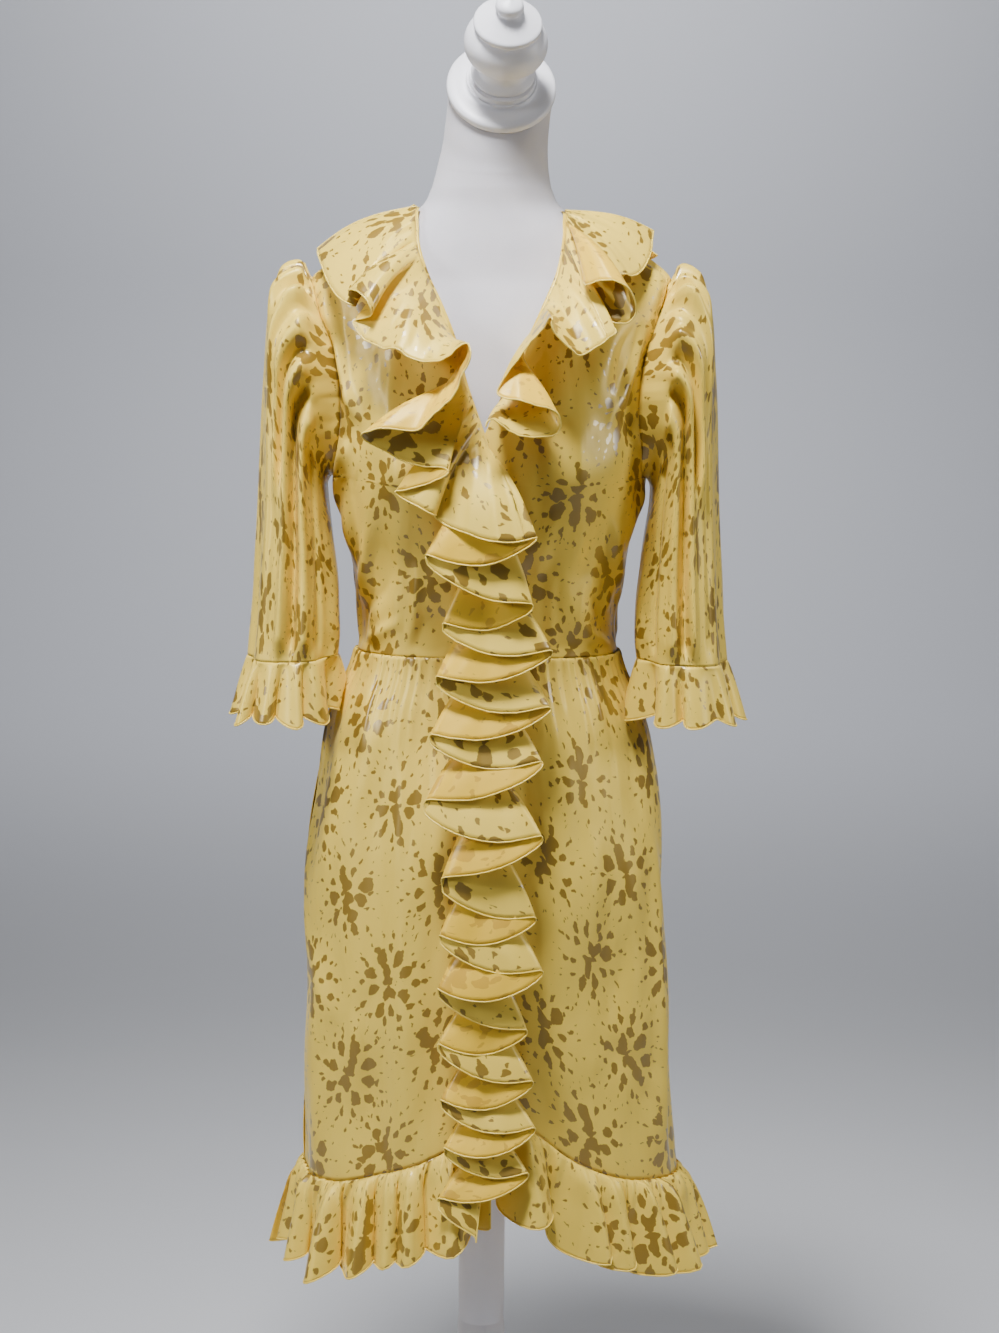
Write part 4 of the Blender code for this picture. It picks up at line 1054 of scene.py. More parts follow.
# %% Sleeves
def armhole_loop(side, shares):
    """Points on the bodice's own edges, from the shoulder tip down the front and up the back."""
    rows = np.where((heights >= ARMPIT - ROW_SLACK) & (heights <= SHOULDER_TIP + ROW_SLACK))[0]
    front = grids["bodice_left_front"][:, -1] if side > 0 else grids["bodice_right_front"][:, 0]
    behind = grids["bodice_back"][:, 0] if side > 0 else grids["bodice_back"][:, -1]
    loop = np.concatenate([front[rows][::-1], behind[rows]])
    lengths = walked(np.linalg.norm(np.diff(loop, axis=0), axis=-1))
    target = shares * lengths[-1]
    return np.stack([np.interp(target, lengths, loop[:, k]) for k in range(3)], axis=-1)


def sleeve_surface(along, share, side, mirror):
    """Points of a sleeve for arrays of places along it and shares round it."""
    centre_y = SLEEVE.at("centre_y", along)
    outer = pointed(side * SLEEVE.at("outer_x", along), centre_y, SLEEVE.at("outer_z", along))
    inner = pointed(side * SLEEVE.at("inner_x", along), centre_y, SLEEVE.at("inner_z", along))
    middle, reach = (outer + inner) / 2, (outer - inner) / 2
    a = TURN * share
    folds = SLEEVE_FOLDS["depth"] * np.cos(SLEEVE_FOLDS["count"] * a + SLEEVE_FOLDS["turn"])
    ripples = SLEEVE_FOLDS["ripple_depth"] * np.cos(SLEEVE_FOLDS["ripples"] * a)
    swell = 1 + folds * fade(along, 0.15, 0.60) + ripples * fade(along, 0.30, 0.90)
    for where, start, end, out, wide in SLEEVE_CREASES:
        where = where + mirror * 0.011 * math.sin(where * 40)
        drift = where + 0.012 * np.sin(3.0 * along + 9 * where)
        away = ((share - drift + 0.5) % 1 - 0.5) * 360
        ends = fade(along, start - 0.02, start + 0.04) * (1 - fade(along, end - 0.10, end))
        swell = swell + out * MM * SLEEVE_DEPTH / SLEEVE_RADIUS * hump(away, wide) * ends
    waves = softness(SLEEVE_ROUND * share + 0.4 * side, SLEEVE_LONG * along)
    swell = swell + SLEEVE_SOFTNESS * waves * fade(along, 0.04, 0.14)
    round_it = pointed(0 * a, -SLEEVE.at("half_depth", along) * np.sin(a) * swell, 0 * a)
    return middle + reach * (np.cos(a) * swell)[..., None] + round_it


def make_sleeve(name, side, mirror):
    share = np.linspace(0, 1, SLEEVE_COLUMNS, endpoint=False)
    head, arm = np.linspace(0, HEAD_END, HEAD_ROWS), np.linspace(HEAD_END, 1.0, ARM_ROWS)
    along = np.concatenate([head, arm[1:]])
    grid = sleeve_surface(along[:, None] + 0 * share, share[None, :] + 0 * along[:, None], side, mirror)
    tucked = pointed(-side * TUCK + 0 * share, 0 * share, -TUCK * np.cos(TURN * share))
    loop = armhole_loop(side, share) + tucked
    leave = np.clip(along / LEAVE_SEAM, 0, 1)
    leave = (1 - (1 - leave) ** 2)[:, None, None]
    cloth(f"sleeve_{name}", loop[None] * (1 - leave) + grid * leave, closed=True, flip=side < 0)


for name, side, mirror in (("right", -1, 0.0), ("left", 1, 1.0)):
    make_sleeve(name, side, mirror)
print("sleeves:", grids["sleeve_left"].shape[:2])

# %% [markdown]
# ## Skirt and hem flounce
#
# The skirt is gathered to the waist. Real gathers are never even, so each ridge draws its own width, height
# and length, and fades out over the first 3 to 10 cm. A flounce is sewn to the curved hem: a strip longer
# than its seam, which stands out in narrow round folds with flatter stretches between them.

# %% Skirt tables
HEM_RIGHT = Table(
    "x height",
    (-0.190, 0.467),
    (-0.150, 0.477),
    (-0.100, 0.497),
    (-0.060, 0.516),
    (-0.035, 0.531),
    (0.010, 0.553),
)
HEM_LEFT = Table(
    "x height",
    (-0.075, 0.600),
    (0.000, 0.578),
    (0.053, 0.548),
    (0.090, 0.517),
    (0.140, 0.489),
    (0.205, 0.466),
)
HEM_BACK = 0.4665
FLOUNCE_DROP, FLOUNCE_WAVE, FLOUNCE_FLARE = 0.086, 0.0125, 0.018  # its length, depth of a fold, and flare
FOLD_LEAN = 0.0125  # how far a fold of the flounce leans over sideways
HEM_WAVES = {"right": 7, "left": 8, "back": 12}
GATHER_DEPTH = 0.0013
SKIRT_SOFTNESS, SKIRT_OUT = 2.6, 0.0004  # how much deeper its waves are, and how far off its outline it is
PANEL_SLIP = 0.5 * SEAM / 0.13  # half the gap of a side seam, as an angle at the side of the skirt
PANELS = {
    # start and end as compass angles, columns of the grid
    "right": (-math.pi / 2 + PANEL_SLIP, skirt_angle(0.008), 90),
    "left": (skirt_angle(-0.066), math.pi / 2 - PANEL_SLIP, 100),
    "back": (math.pi / 2 + PANEL_SLIP, 1.5 * math.pi - PANEL_SLIP, 150),
}
WAIST_ROWS, WAIST_BAND, SKIRT_ROWS, FLOUNCE_ROWS = 22, 0.10, 120, 30
FLOUNCE_FINER = 1.6  # columns of a flounce for each of its panel's

chance = np.random.default_rng(11)
GATHERS = []  # compass degrees, half width in degrees, height in millimetres, length in metres
where = -179.0
while where < 179:
    GATHERS.append((where, chance.uniform(1.0, 1.9), chance.uniform(1.2, 4.2), chance.uniform(0.035, 0.115)))
    where += chance.uniform(3.4, 6.4)
print("gathers:", len(GATHERS))


# %% Surface of the skirt
def gathers(theta, height):
    """Ridges below the waist seam, each with its own width, height and length."""
    degrees = np.degrees(theta)
    drop = waist_height(theta) - height
    total = np.zeros(np.broadcast(theta, height).shape)
    for where, wide, out, long in GATHERS:
        away = (degrees - where + 180) % 360 - 180
        ridge = hump(away, wide * (1 + 6 * np.clip(drop, 0, 0.2)))
        total += ridge * out * MM * (1 - fade(drop, 0.25 * long, 1.4 * long))
    return total


def skirt_surface(theta, height, panel, smooth=False):
    """Points of the skirt. Smooth leaves out the gathers, for what is sewn on to it."""
    base = skirt_base(theta, height)
    out = creases(theta, height, CREASES_SKIRT) * fade(0.965 - height, 0.0, 0.16) + SKIRT_OUT
    waves = softness(theta * AROUND + 0.7, 0.45 * height)
    out = out + SKIRT_SOFTNESS * waves * fade(0.99 - height, 0.0, 0.06)
    shown = fade(base[..., 0], 0.012, 0.034) if panel == "left" else 1.0
    out = out + gathers(theta, height) * shown * (0 if smooth else 1)
    if panel == "right":
        out = out + lap_out(base[..., 0])
    return base + outwards(theta) * out[..., None]


def hem_height(panel, theta):
    x = skirt_base(theta, 0.5 + 0 * theta)[..., 0]
    if panel == "back":
        return HEM_BACK + 0 * x
    return (HEM_RIGHT if panel == "right" else HEM_LEFT).at("height", x)
print("hem at the back:", HEM_BACK, "m up")


# %% Panels and flounces
def uneven_folds(share, count, luck, low, high):
    """Phase and strength of folds that differ in width and depth along a seam."""
    ends = walked(luck.uniform(0.45, 1.7, count))
    turns = np.interp(share, ends / ends[-1], np.arange(count + 1))
    deep = luck.uniform(low, high, count + 1)
    deep[-1] = deep[0]
    return TURN * turns, np.interp(turns, np.arange(count + 1), deep)


def make_panel(panel):
    start, end, columns = PANELS[panel]
    share = np.linspace(0, 1, columns)
    theta = start + (end - start) * share
    hem, top = hem_height(panel, theta), waist_height(theta) + TUCK
    near_waist, below = np.linspace(0, WAIST_BAND, WAIST_ROWS), np.linspace(WAIST_BAND, 1, SKIRT_ROWS)
    down = np.concatenate([near_waist, below[1:]])[::-1]
    height = top + (hem - top) * down[:, None]
    angles = theta + 0 * height
    grid = skirt_surface(angles, height, panel)
    seam = drawn_in(grid, share) + hump(height - hem, END_REACH)
    tucked = TUCK * (1 - fade(top - height, 0, 2.5 * TUCK))
    grid = grid - outwards(angles) * (SEAM_DIP * np.clip(seam, 0, 1) + tucked)[..., None]
    cloth("skirt_back" if panel == "back" else f"skirt_{panel}_front", grid)


def make_hem_flounce(panel):
    start, end, columns = PANELS[panel]
    share = np.linspace(0, 1, int(columns * FLOUNCE_FINER))
    theta = start + (end - start) * share
    hem = hem_height(panel, theta) - SEAM - 0.0002
    point = skirt_surface(theta, hem, panel, True)[None]
    phase, deep = uneven_folds(share, HEM_WAVES[panel], np.random.default_rng(len(panel)), 0.6, 1.6)
    shown = fade(point[..., 0], 0.010, 0.036) if panel == "left" else 1.0
    part = np.linspace(1, 0, FLOUNCE_ROWS)[:, None]
    leaves = part**0.6
    held = np.clip(np.minimum(share, 1 - share) * 14, 0, 1)
    fold = 2.2 * np.exp(1.6 * (np.cos(phase) - 1)) - 0.7
    pinch = 0.0045 * np.sin(1.9 * phase + 2) ** 2 * hump(part - 0.14, 0.20)
    ripple = shown * (leaves * (FLOUNCE_FLARE + FLOUNCE_WAVE * deep * fold) + pinch)
    sideways = FOLD_LEAN * shown * held * leaves * deep * np.sin(phase + 0.7)
    drop = FLOUNCE_DROP * part + 0.006 * part**2 * deep * np.cos(phase + 0.9) * shown
    along = unit(pointed(np.cos(theta), np.sin(theta), 0 * theta))[None]
    grid = point - pointed(0 * drop, 0 * drop, drop)
    grid = grid + outwards(theta)[None] * ripple[..., None] + along * sideways[..., None]
    cloth(f"hem_flounce_{panel}", grid, hems=[("row", 0)])


for panel in PANELS:
    make_panel(panel)
    make_hem_flounce(panel)
skirt_names = [n for n in grids if n.startswith(("skirt", "hem"))]
print("skirt:", {n: grids[n].shape[:2] for n in skirt_names})

# %% [markdown]
# ## Keeping clear of the dress
#
# Ruffles lie on the dress and would sink into it at a fold. A collision simulation would keep them apart.
# Here each point looks for the nearest place on the dress and is pushed out where it is too close.

# %% Distance to the dress
PUSHES = 2
PUSH_WITHIN = 0.06  # metres from the dress within which a point is pushed out


def keep_off(point, tree, least):
    """The point, moved out where it would come closer to the dress than least."""
    for _ in range(PUSHES):
        near, normal, *_ = tree.find_nearest(point)
        outward = Vector((near.x * 0.35, near.y + 0.01, 0.02))
        if normal.dot(outward) < 0:
            normal = -normal
        depth = (point - near).dot(normal)
        if depth < least and (point - near).length < PUSH_WITHIN:
            point = point + normal * (least - depth)
    return point


def tree_of(names, closed=()):
    points, faces = [], []
    for name in names:
        found, _ = grid_faces(*grids[name].shape[:2], closed=name in closed)
        faces += (found + len(points)).tolist()
        points += grids[name].reshape(-1, 3).tolist()
    return BVHTree.FromPolygons([Vector(p) for p in points], faces)


skirt_tree = tree_of(skirt_names)
print("kept off the skirt and its flounces")

# %% [markdown]
# ## Cuff ruffles
#
# A cuff ruffle is a gathered ring of silk on the end of the sleeve. It opens a little as it falls, in folds
# that lean over and differ in width. It hangs beside the skirt, so its points are kept off it.

# %% Cuff ruffles
CUFF = {"drop": 0.056, "open": 0.20, "wave": 0.0085, "waves": 10, "outward": 0.004, "lean": 0.0050}
CUFF_COLUMNS, CUFF_ROWS = 200, 20


def make_cuff(name, side, tree):
    share = np.linspace(0, 1, CUFF_COLUMNS, endpoint=False)
    top = sleeve_surface(np.full(CUFF_COLUMNS, 1.0), share, side, 0.0)
    middle = top.mean(axis=0)
    phase, deep = uneven_folds(share, CUFF["waves"], np.random.default_rng(7 + side), 0.6, 1.5)
    wave = np.cos(phase)
    round_it = unit(np.roll(top, -1, axis=0) - np.roll(top, 1, axis=0))
    grid = []
    for part in np.linspace(0, 1, CUFF_ROWS):
        away = (top - middle) * (1 + CUFF["open"] * part)
        ripple = unit(away) * (CUFF["wave"] * part**0.6 * wave * deep)[:, None]
        ripple = ripple + round_it * (CUFF["lean"] * part**0.7 * deep * np.sin(phase + 0.8))[:, None]
        drop = SEAM + CLOTH * 0.2 + CUFF["drop"] * part * (1 + 0.08 * wave * deep)
        line = middle + away + ripple + pointed(side * CUFF["outward"] * part, 0, -drop)
        if part > 0:
            clear = CLOTH + 0.002 + 0.003 * part * (1 - wave)
            line = np.array([keep_off(Vector(p), tree, c) for p, c in zip(line.tolist(), clear.tolist())])
        grid.append(line)
    cloth(f"cuff_ruffle_{name}", np.array(grid), closed=True, flip=side < 0, hems=[("row", -1)])


for name, side in (("right", -1), ("left", 1)):
    make_cuff(name, side, skirt_tree)
print("cuffs:", grids["cuff_ruffle_left"].shape[:2])

# %% [markdown]
# ## Neck flounces and front ruffle
#
# A ruffle like this is a strip cut in a spiral and sewn by its short edge, so that its long edge ripples.
# Straight lines run across it from the seam to the free edge and swing from fold to fold. Unrolling a spiral
# would leave the folds to chance, but these are seen one by one. So each row gives one line or fold: its
# height on the seam, and where its tip lies.

# %% Right collar, from the shoulder to the breast
COLLAR_RIGHT = Table(
    "seam tip_x tip_height tip_out",
    (1.4510, -0.171, 1.414, 0.005),
    (1.4465, -0.168, 1.406, 0.030),
    (1.4420, -0.163, 1.397, 0.052),
    (1.4360, -0.155, 1.381, 0.074),
    (1.4300, -0.144, 1.368, 0.092),
    (1.4260, -0.136, 1.363, 0.100),
    (1.4230, -0.128, 1.360, 0.100),
    (1.4205, -0.128, 1.365, 0.092),
    (1.4180, -0.133, 1.373, 0.092),
    (1.4160, -0.134, 1.376, 0.104),
    (1.4140, -0.127, 1.375, 0.118),
    (1.4115, -0.118, 1.369, 0.128),
    (1.4090, -0.112, 1.360, 0.132),
    (1.4065, -0.111, 1.353, 0.128),
    (1.4040, -0.117, 1.349, 0.120),
    (1.4015, -0.127, 1.347, 0.114),
    (1.3985, -0.129, 1.344, 0.114),
    (1.3950, -0.125, 1.337, 0.118),
    (1.3905, -0.119, 1.331, 0.124),
    (1.3855, -0.109, 1.326, 0.134),
    (1.3800, -0.100, 1.323, 0.142),
    (1.3740, -0.090, 1.323, 0.150),
    (1.3680, -0.083, 1.321, 0.153),
    (1.3620, -0.077, 1.316, 0.156),
    (1.3550, -0.067, 1.313, 0.160),
    (1.3480, -0.057, 1.312, 0.163),
    (1.3410, -0.046, 1.313, 0.166),
    (1.3340, -0.037, 1.317, 0.168),
    (1.3285, -0.030, 1.323, 0.168),
    (1.3240, -0.024, 1.328, 0.170),
    (1.3200, -0.019, 1.328, 0.174),
    (1.3165, -0.016, 1.321, 0.180),
    (1.3130, -0.020, 1.311, 0.180),
    (1.3100, -0.026, 1.296, 0.177),
    (1.3075, -0.034, 1.280, 0.178),
    (1.3050, -0.043, 1.270, 0.178),
    (1.3025, -0.055, 1.260, 0.178),
    (1.3000, -0.063, 1.251, 0.177),
    (1.2970, -0.077, 1.249, 0.176),
    (1.2940, -0.092, 1.250, 0.175),
    (1.2910, -0.106, 1.249, 0.174),
    (1.2885, -0.1165, 1.246, 0.172),
    (1.2860, -0.1170, 1.241, 0.169),
    (1.2840, -0.1090, 1.235, 0.166),
    (1.2815, -0.0950, 1.228, 0.164),
    (1.2790, -0.0790, 1.219, 0.163),
    (1.2760, -0.0600, 1.214, 0.163),
    (1.2730, -0.0420, 1.214, 0.166),
    (1.2700, -0.037, 1.208, 0.168),
    (1.2660, -0.059, 1.198, 0.166),
    (1.2620, -0.077, 1.192, 0.164),
    (1.2590, -0.087, 1.191, 0.163),
    (1.2560, -0.083, 1.186, 0.162),
    (1.2530, -0.069, 1.179, 0.166),
    (1.2500, -0.052, 1.170, 0.168),
    (1.2480, -0.048, 1.169, 0.160),
    (1.2460, -0.049, 1.166, 0.154),
    (1.2435, -0.039, 1.159, 0.158),
    (1.2405, -0.021, 1.153, 0.168),
    (1.2375, -0.000, 1.147, 0.174),
    (1.2345, 0.021, 1.145, 0.174),
    (1.2325, 0.036, 1.147, 0.171),
)
print("right collar:", len(COLLAR_RIGHT.rows), "tips")

# %% Left collar
COLLAR_LEFT = Table(
    "seam tip_x tip_height tip_out",
    (1.4505, 0.159, 1.433, 0.004),
    (1.4500, 0.157, 1.422, 0.024),
    (1.4493, 0.155, 1.413, 0.038),
    (1.4486, 0.152, 1.406, 0.050),
    (1.4478, 0.146, 1.397, 0.062),
    (1.4470, 0.137, 1.391, 0.074),
    (1.4462, 0.128, 1.392, 0.083),
    (1.4454, 0.117, 1.392, 0.094),
    (1.4446, 0.105, 1.389, 0.105),
    (1.4438, 0.095, 1.387, 0.112),
    (1.4430, 0.088, 1.385, 0.118),
    (1.4420, 0.090, 1.383, 0.128),
    (1.4410, 0.100, 1.386, 0.136),
    (1.4398, 0.112, 1.387, 0.140),
    (1.4386, 0.124, 1.384, 0.140),
    (1.4372, 0.134, 1.374, 0.136),
    (1.4358, 0.137, 1.361, 0.132),
    (1.4342, 0.132, 1.350, 0.130),
    (1.4320, 0.121, 1.347, 0.126),
    (1.4290, 0.113, 1.349, 0.124),
    (1.4260, 0.103, 1.353, 0.122),
    (1.4230, 0.097, 1.352, 0.122),
    (1.4200, 0.097, 1.347, 0.126),
    (1.4170, 0.105, 1.345, 0.132),
    (1.4130, 0.114, 1.344, 0.138),
    (1.4080, 0.118, 1.340, 0.142),
    (1.4010, 0.111, 1.334, 0.147),
    (1.3930, 0.110, 1.333, 0.148),
    (1.3840, 0.105, 1.329, 0.150),
    (1.3790, 0.094, 1.323, 0.156),
    (1.3740, 0.085, 1.319, 0.160),
    (1.3680, 0.074, 1.326, 0.164),
    (1.3620, 0.063, 1.335, 0.168),
    (1.3570, 0.058, 1.346, 0.172),
    (1.3530, 0.057, 1.353, 0.170),
    (1.3495, 0.052, 1.347, 0.163),
    (1.3460, 0.042, 1.334, 0.156),
    (1.3410, 0.028, 1.316, 0.155),
    (1.3370, 0.017, 1.303, 0.158),
    (1.3310, 0.010, 1.290, 0.162),
    (1.3250, 0.010, 1.281, 0.166),
    (1.3200, 0.029, 1.277, 0.172),
    (1.3140, 0.052, 1.271, 0.172),
    (1.3090, 0.064, 1.265, 0.166),
    (1.3040, 0.068, 1.255, 0.160),
    (1.2990, 0.063, 1.246, 0.160),
    (1.2930, 0.046, 1.243, 0.164),
    (1.2870, 0.029, 1.244, 0.168),
    (1.2810, 0.017, 1.250, 0.170),
    (1.2750, 0.005, 1.260, 0.172),
    (1.2700, -0.001, 1.258, 0.176),
    (1.2660, -0.002, 1.253, 0.178),
)
print("left collar:", len(COLLAR_LEFT.rows), "tips")

# %% Cascade, from the breast to the hem
CASCADE = Table(
    "seam tip_x tip_height tip_out",
    (1.2305, 0.046, 1.149, 0.168),
    (1.1970, -0.058, 1.127, 0.160),
    (1.1670, 0.044, 1.082, 0.162),
    (1.1370, -0.042, 1.061, 0.150),
    (1.1080, 0.062, 1.036, 0.148),
    (1.0790, -0.048, 1.008, 0.146),
    (1.0500, 0.062, 0.981, 0.145),
    (1.0210, -0.053, 0.950, 0.148),
    (0.9920, 0.055, 0.928, 0.150),
    (0.9570, -0.058, 0.884, 0.153),
    (0.9200, 0.056, 0.856, 0.158),
    (0.8870, -0.040, 0.808, 0.160),
    (0.8560, 0.050, 0.776, 0.160),
    (0.8260, -0.042, 0.757, 0.160),
    (0.7960, 0.058, 0.724, 0.162),
    (0.7660, -0.043, 0.704, 0.162),
    (0.7360, 0.043, 0.664, 0.164),
    (0.7060, -0.044, 0.650, 0.164),
    (0.6760, 0.049, 0.612, 0.165),
    (0.6460, -0.040, 0.592, 0.166),
    (0.6180, 0.052, 0.566, 0.168),
    (0.5900, -0.036, 0.544, 0.168),
    (0.5640, 0.046, 0.520, 0.170),
    (0.5380, -0.042, 0.490, 0.172),
    (0.5100, -0.004, 0.456, 0.184),
)
print("cascade:", len(CASCADE.rows), "folds")

# %% [markdown]
# ## Where the ruffles are sewn on
#
# The front ruffle follows the right front's edge from the neck to the hem, over bodice and skirt alike. A
# function gives the point on that edge for any height. It stands off the gathers and, at the hem, the folds.

# %% Ruffle seams
CLEAR = CLOTH / 2 + SEAM  # how far the middle of a ruffle's cloth stays off what it lies on
EDGE_INSET = 0.0025  # how far the ruffle's seam lies in from the edge of the front


def direction(azimuth, pitch):
    """A direction from a compass bearing and an angle below level, both in degrees."""
    a, p = math.radians(azimuth), math.radians(pitch)
    return Vector((math.sin(a) * math.cos(p), -math.cos(a) * math.cos(p), -math.sin(p)))


def bearing_of(away):
    return math.degrees(math.atan2(away.x, -away.y))


def root_on(edge, side, lapped):
    """A function from a height to the point where a ruffle is sewn on beside an edge."""

    def root_at(height):
        x = float(edge.at("x", height)) + side * EDGE_INSET
        theta = np.array(angle_at(x, height) if height > WAIST else skirt_angle(x))
        level = np.array(height)
        over_hem = max(0.0, HEM_RIGHT.rows[-1][1] - height) / FLOUNCE_DROP * (FLOUNCE_FLARE + FLOUNCE_WAVE)
        over_gathers = 2 * GATHER_DEPTH * float(fade(height, 0.90, 0.99))
        below = Vector(skirt_surface(theta, level, "right" if lapped else "left", True))
        below = below + Vector((0, -(CLEAR + over_hem + over_gathers), 0))
        if height <= WAIST:
            return below
        out = cloth_out(level) + CLEAR + (lap_out(x) if lapped else 0.0)
        return below.lerp(Vector(on_form(theta, level, out)), float(fade(height, WAIST, WAIST + 0.04)))

    return root_at


def swings(rows, root_at):
    """Each fold as its height on the seam, bearing, pitch and length."""
    folds = []
    for seam, tip_x, tip_height, tip_out in rows:
        away = Vector((tip_x, -tip_out, tip_height)) - root_at(seam)
        folds.append((seam, bearing_of(away), math.degrees(math.asin(-away.z / away.length)), away.length))
    return folds


right_root, left_root = root_on(RIGHT_EDGE, -1, True), root_on(LEFT_EDGE, 1, False)
cascade = swings([tuple(COLLAR_RIGHT.rows[0]), *CASCADE.rows[::-1]], right_root)
print("folds of the cascade:", len(cascade))

# %% Ruffle makers
SAG = 13  # degrees that a wide swing sags in its middle
BULGE = 0.10  # how far a line across the ruffle bends up, as a share of its length
STAND = 0.004  # how much further off the dress the free edge stays than the seam
WIDE_SWING = 60  # degrees
ACROSS, COLLAR_STEPS, FOLD_STEPS = 20, 5, 14  # faces across a ruffle, from row to row, and from fold to fold


def line_across(root, away, tree):
    """Points from the seam to the free edge, bent a little upwards and kept off the dress."""
    bend = direction(bearing_of(away) * 0.5, -35)
    line = []
    for part in np.linspace(0, 1, ACROSS + 1).tolist():
        lift = bend * (BULGE * math.sin(math.pi * part) * away.length)
        line.append(keep_off(root + away * part + lift, tree, CLEAR + STAND * part))
    return line


def collar_lines(table, root_at, tree):
    """Lines across to a free edge that is given point by point."""
    seams = table.rows[::-1, 0]
    places = np.arange(0, len(seams) - 1 + 1e-6, 1 / COLLAR_STEPS)
    lines = []
    for seam in np.interp(places, np.arange(len(seams)), seams):
        tip = Vector((table.at("tip_x", seam), -table.at("tip_out", seam), table.at("tip_height", seam)))
        root = root_at(seam)
        lines.append(line_across(root, tip - root, tree))
    return lines


def cascade_lines(folds, root_at, tree):
    """Lines across that swing from fold to fold. Swings to the right turn early and fall late."""
    lines = []
    for i, (low, high) in enumerate(zip(folds, folds[1:])):
        last = i == len(folds) - 2
        to_right = low[1] > high[1]
        for t in np.linspace(0, 1, FOLD_STEPS + 1)[: None if last else -1]:
            turning = float(fade(t, 0.02, 0.84) if to_right else fade(t, 0.10, 0.92))
            falling = float(fade(t, 0.30, 1.00) if to_right else fade(t, 0.05, 0.95))
            seam = low[0] + (high[0] - low[0]) * t
            azimuth = low[1] + (high[1] - low[1]) * turning
            pitch, reach = (low[k] + (high[k] - low[k]) * falling for k in (2, 3))
            if abs(high[1] - low[1]) > WIDE_SWING:
                pitch += SAG * math.sin(math.pi * turning)
            lines.append(line_across(root_at(seam), direction(azimuth, pitch) * reach, tree))
    return lines


def fluttered(lines):
    """The same lines as a grid, with small uneven waves towards the free edge."""
    grid = np.array([[tuple(point) for point in line] for line in lines])
    along = np.gradient(grid[:, -1], axis=0)
    length = np.cumsum(np.linalg.norm(along, axis=-1))
    out = unit(np.cross(along, grid[:, -1] - grid[:, 0]))
    wave = 0.0007 * np.sin(TURN * length / 0.041 + 1.7 * np.sin(TURN * length / 0.137))
    wave = wave + 0.0003 * np.sin(TURN * length / 0.017 + 2.0 * np.sin(TURN * length / 0.090))
    part = np.linspace(0, 1, grid.shape[1]) ** 1.6
    grid = grid + wave[:, None, None] * out[:, None] * part[None, :, None]
    return grid.transpose(1, 0, 2)


tubes = [n for n in grids if n.startswith(("sleeve", "cuff"))]
dress_tree = tree_of(list(grids), closed=tubes)
print("lines across have", ACROSS + 1, "points")

# %% [markdown]
# ## Back of the neck
#
# The flounce goes on round the back neck, which the photograph doesn't show. It gets the same manner of
# folds: a few even waves that calm down towards the shoulders, where it meets the two front flounces.

# %% Back neck flounce
BACK_NECK = {"seam": 1.4505, "reach": 0.098, "start": 96, "end": 264}
BACK_WAVES = {"count": 5, "swing": 13.0, "lift": 0.012}
BACK_ACROSS, BACK_STEPS = 24, 30  # faces across it, and in each wave
BACK_PITCH = {"ends": 12, "middle": 26, "edge": 14}  # degrees below level at the ends, and what is added


def back_flounce_grid(tree):
    columns = BACK_WAVES["count"] * BACK_STEPS
    lines = []
    for share in (k / columns for k in range(columns + 1)):
        theta = math.radians(BACK_NECK["start"] + (BACK_NECK["end"] - BACK_NECK["start"]) * share)
        level = np.array(BACK_NECK["seam"])
        root = Vector(on_form(np.array(theta), level, cloth_out(level) + CLEAR))
        around = TURN * BACK_WAVES["count"] * share
        middle = math.sin(math.pi * share)
        azimuth = math.degrees(theta) + BACK_WAVES["swing"] * math.sin(around) * middle
        pitch = BACK_PITCH["ends"] + BACK_PITCH["middle"] * middle
        wave = BACK_WAVES["lift"] * middle * (0.5 - 0.5 * math.cos(around))
        line = [root]
        for part in (k / BACK_ACROSS for k in range(1, BACK_ACROSS + 1)):
            point = root + direction(azimuth, pitch + BACK_PITCH["edge"] * part) * (BACK_NECK["reach"] * part)
            ease = min(1.0, part * 4)
            least = 0.003 * ease + CLEAR * (1 - ease) + part * (0.006 + wave)
            line.append(keep_off(point, tree, least))
        lines.append(line)
    return np.array(lines).transpose(1, 0, 2)


front_lines = collar_lines(COLLAR_RIGHT, right_root, dress_tree)
front_lines += cascade_lines(cascade, right_root, dress_tree)[1:]
ruffles = {
    "front_ruffle": fluttered(front_lines),
    "neck_flounce_left": fluttered(collar_lines(COLLAR_LEFT, left_root, dress_tree)),
    "neck_flounce_back": back_flounce_grid(dress_tree),
}
RUFFLE_HEMS = [("row", -1), ("column", 0), ("column", -1)]
for name, grid in ruffles.items():
    flip = name == "front_ruffle"
    cloth(name, grid, flip=flip, centred=True, hems=RUFFLE_HEMS, turn=math.radians(20))
print("ruffles:", {n: g.shape[:2] for n, g in ruffles.items()})

# %% [markdown]
# ## Cut sizes
#
# A later cloth simulation needs to know how much cloth there is. Here the flat size of each piece's cut is
# measured along the modelled sheet, but it is not stored.


for name, (piece, edges) in pieces.items():
    closed = name in tubes
    spread = np.ptp(cloth_metres(grids[name], closed), axis=(0, 1))

# %% [markdown]
# ## Floor, light and camera
#
# Silk shows its folds only where light rakes across them, and lit from the front it would look flat. One lamp
# above and two at the sides do most of the work, and a weak one in front opens the shadows. The floor turns
# up in a curve into a pale backdrop with a lamp of its own. The camera has the photograph's viewing angle.

# %% Floor
FLOOR_HALF, FLOOR_FRONT = 9.0, -7.0
BEND, BEND_FROM, WALL_TOP = 1.3, 5.2, 7.0  # radius of the curve into the backdrop, its start, and the top
FLOOR_DROP = 0.0005  # the floor lies this far below the base


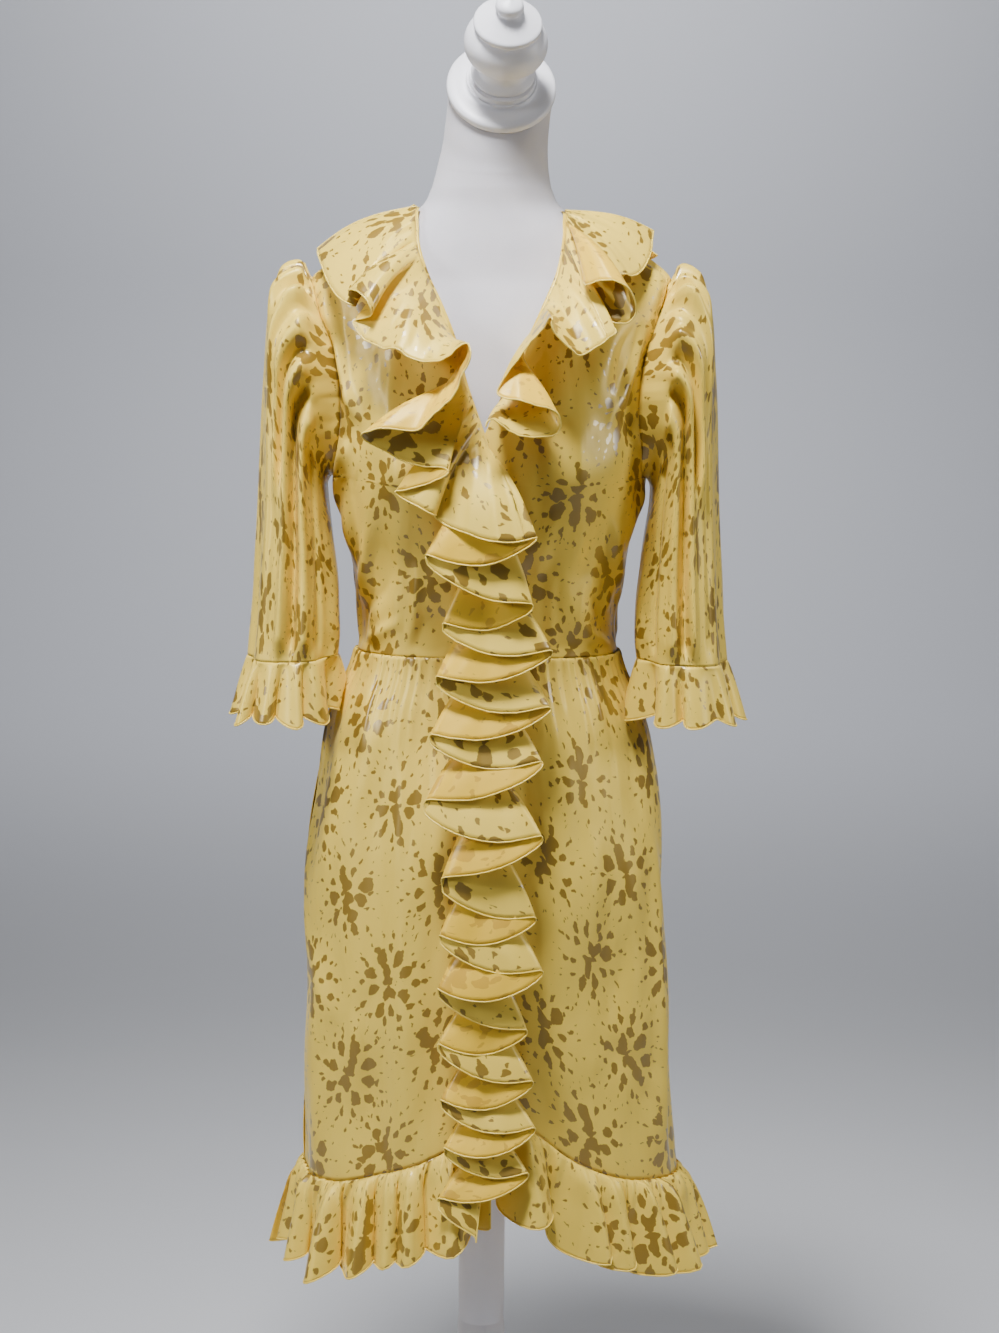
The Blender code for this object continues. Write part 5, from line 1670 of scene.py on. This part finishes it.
def make_floor():
    """Matt pale paper, in one sweep from the floor to the wall."""
    material, tree = new_material("pale_floor")
    add(tree, "OutputMaterial", add(tree, "BsdfPrincipled", linear("#D5D6D9"), Roughness=0.7))
    angles = np.linspace(0, math.pi / 2, 16)
    bend = [(BEND_FROM + BEND * math.sin(a), BEND - BEND * math.cos(a)) for a in angles]
    profile = [(FLOOR_FRONT, 0.0), *bend, (BEND_FROM + BEND, WALL_TOP)]
    points = [(x, y, z - FLOOR_DROP) for y, z in profile for x in (-FLOOR_HALF, FLOOR_HALF)]
    faces = [(2 * k, 2 * k + 1, 2 * k + 3, 2 * k + 2) for k in range(len(profile) - 1)]
    mesh_object("floor", points, faces, material)


make_floor()
print("floor made")

# %% Lamps
LAMPS = (
    # name, place, what it points at, watts, size in metres, colour, spread in degrees
    ("top", (-0.3, -0.9, 3.3), (0, -0.05, 1.3), 24.5, 0.5, "#FBFCFF", 80),
    ("side_left", (-2.2, -0.9, 1.9), (0, 0, 1.1), 14, 0.4, "#FBFCFF", 120),
    ("side_right", (2.3, -0.5, 1.8), (0, 0, 1.0), 10, 0.5, "#FFFFFF", 120),
    ("backdrop", (0, 3.4, 4.2), (0, 6.5, 1.6), 110, 1.5, "#F6F8FF", 140),
    ("front_low", (-0.3, -3.2, 1.3), (0, 0, 0.9), 1.5, 1.2, "#F6F8FF", 180),
)
WORLD_STRENGTH = 0.09


def make_lamp(name, place, aim, power, size, colour, spread):
    data = bpy.data.lights.new(name, "AREA")
    data.spread = math.radians(spread)
    data.energy, data.size, data.color = power, size, linear(colour)[:3]
    thing = bpy.data.objects.new(name, data)
    thing.location = place
    thing.rotation_mode = "QUATERNION"
    thing.rotation_quaternion = (Vector(aim) - Vector(place)).to_track_quat("-Z", "Y")
    bpy.context.collection.objects.link(thing)


for row in LAMPS:
    make_lamp(*row)
world = bpy.data.worlds.new("soft_room")
world.use_nodes = True
backing = world.node_tree.nodes["Background"]
backing.inputs["Color"].default_value = linear("#DDE2EA")
backing.inputs["Strength"].default_value = WORLD_STRENGTH
bpy.context.scene.world = world
print("lamps:", [row[0] for row in LAMPS])

# %% Camera
EYE = (0.0125, -2.4, 1.42)
TILT, ROLL = math.radians(80), math.radians(0.6)  # level would be 90 degrees
LENS, SENSOR_HEIGHT = 64.8, 36  # millimetres, for the height of the frame

optics = bpy.data.cameras.new("camera")
optics.sensor_fit, optics.sensor_height, optics.lens = "VERTICAL", SENSOR_HEIGHT, LENS
camera = bpy.data.objects.new("camera", optics)
camera.matrix_world = Matrix.Translation(EYE) @ Matrix.Rotation(TILT, 4, "X") @ Matrix.Rotation(ROLL, 4, "Z")
bpy.context.collection.objects.link(camera)
bpy.context.scene.camera = camera
print("camera at", EYE)

# %% [markdown]
# ## Last update
#
# The view layer is brought up to date once all pieces are made.

# %% Update
bpy.context.view_layer.update()
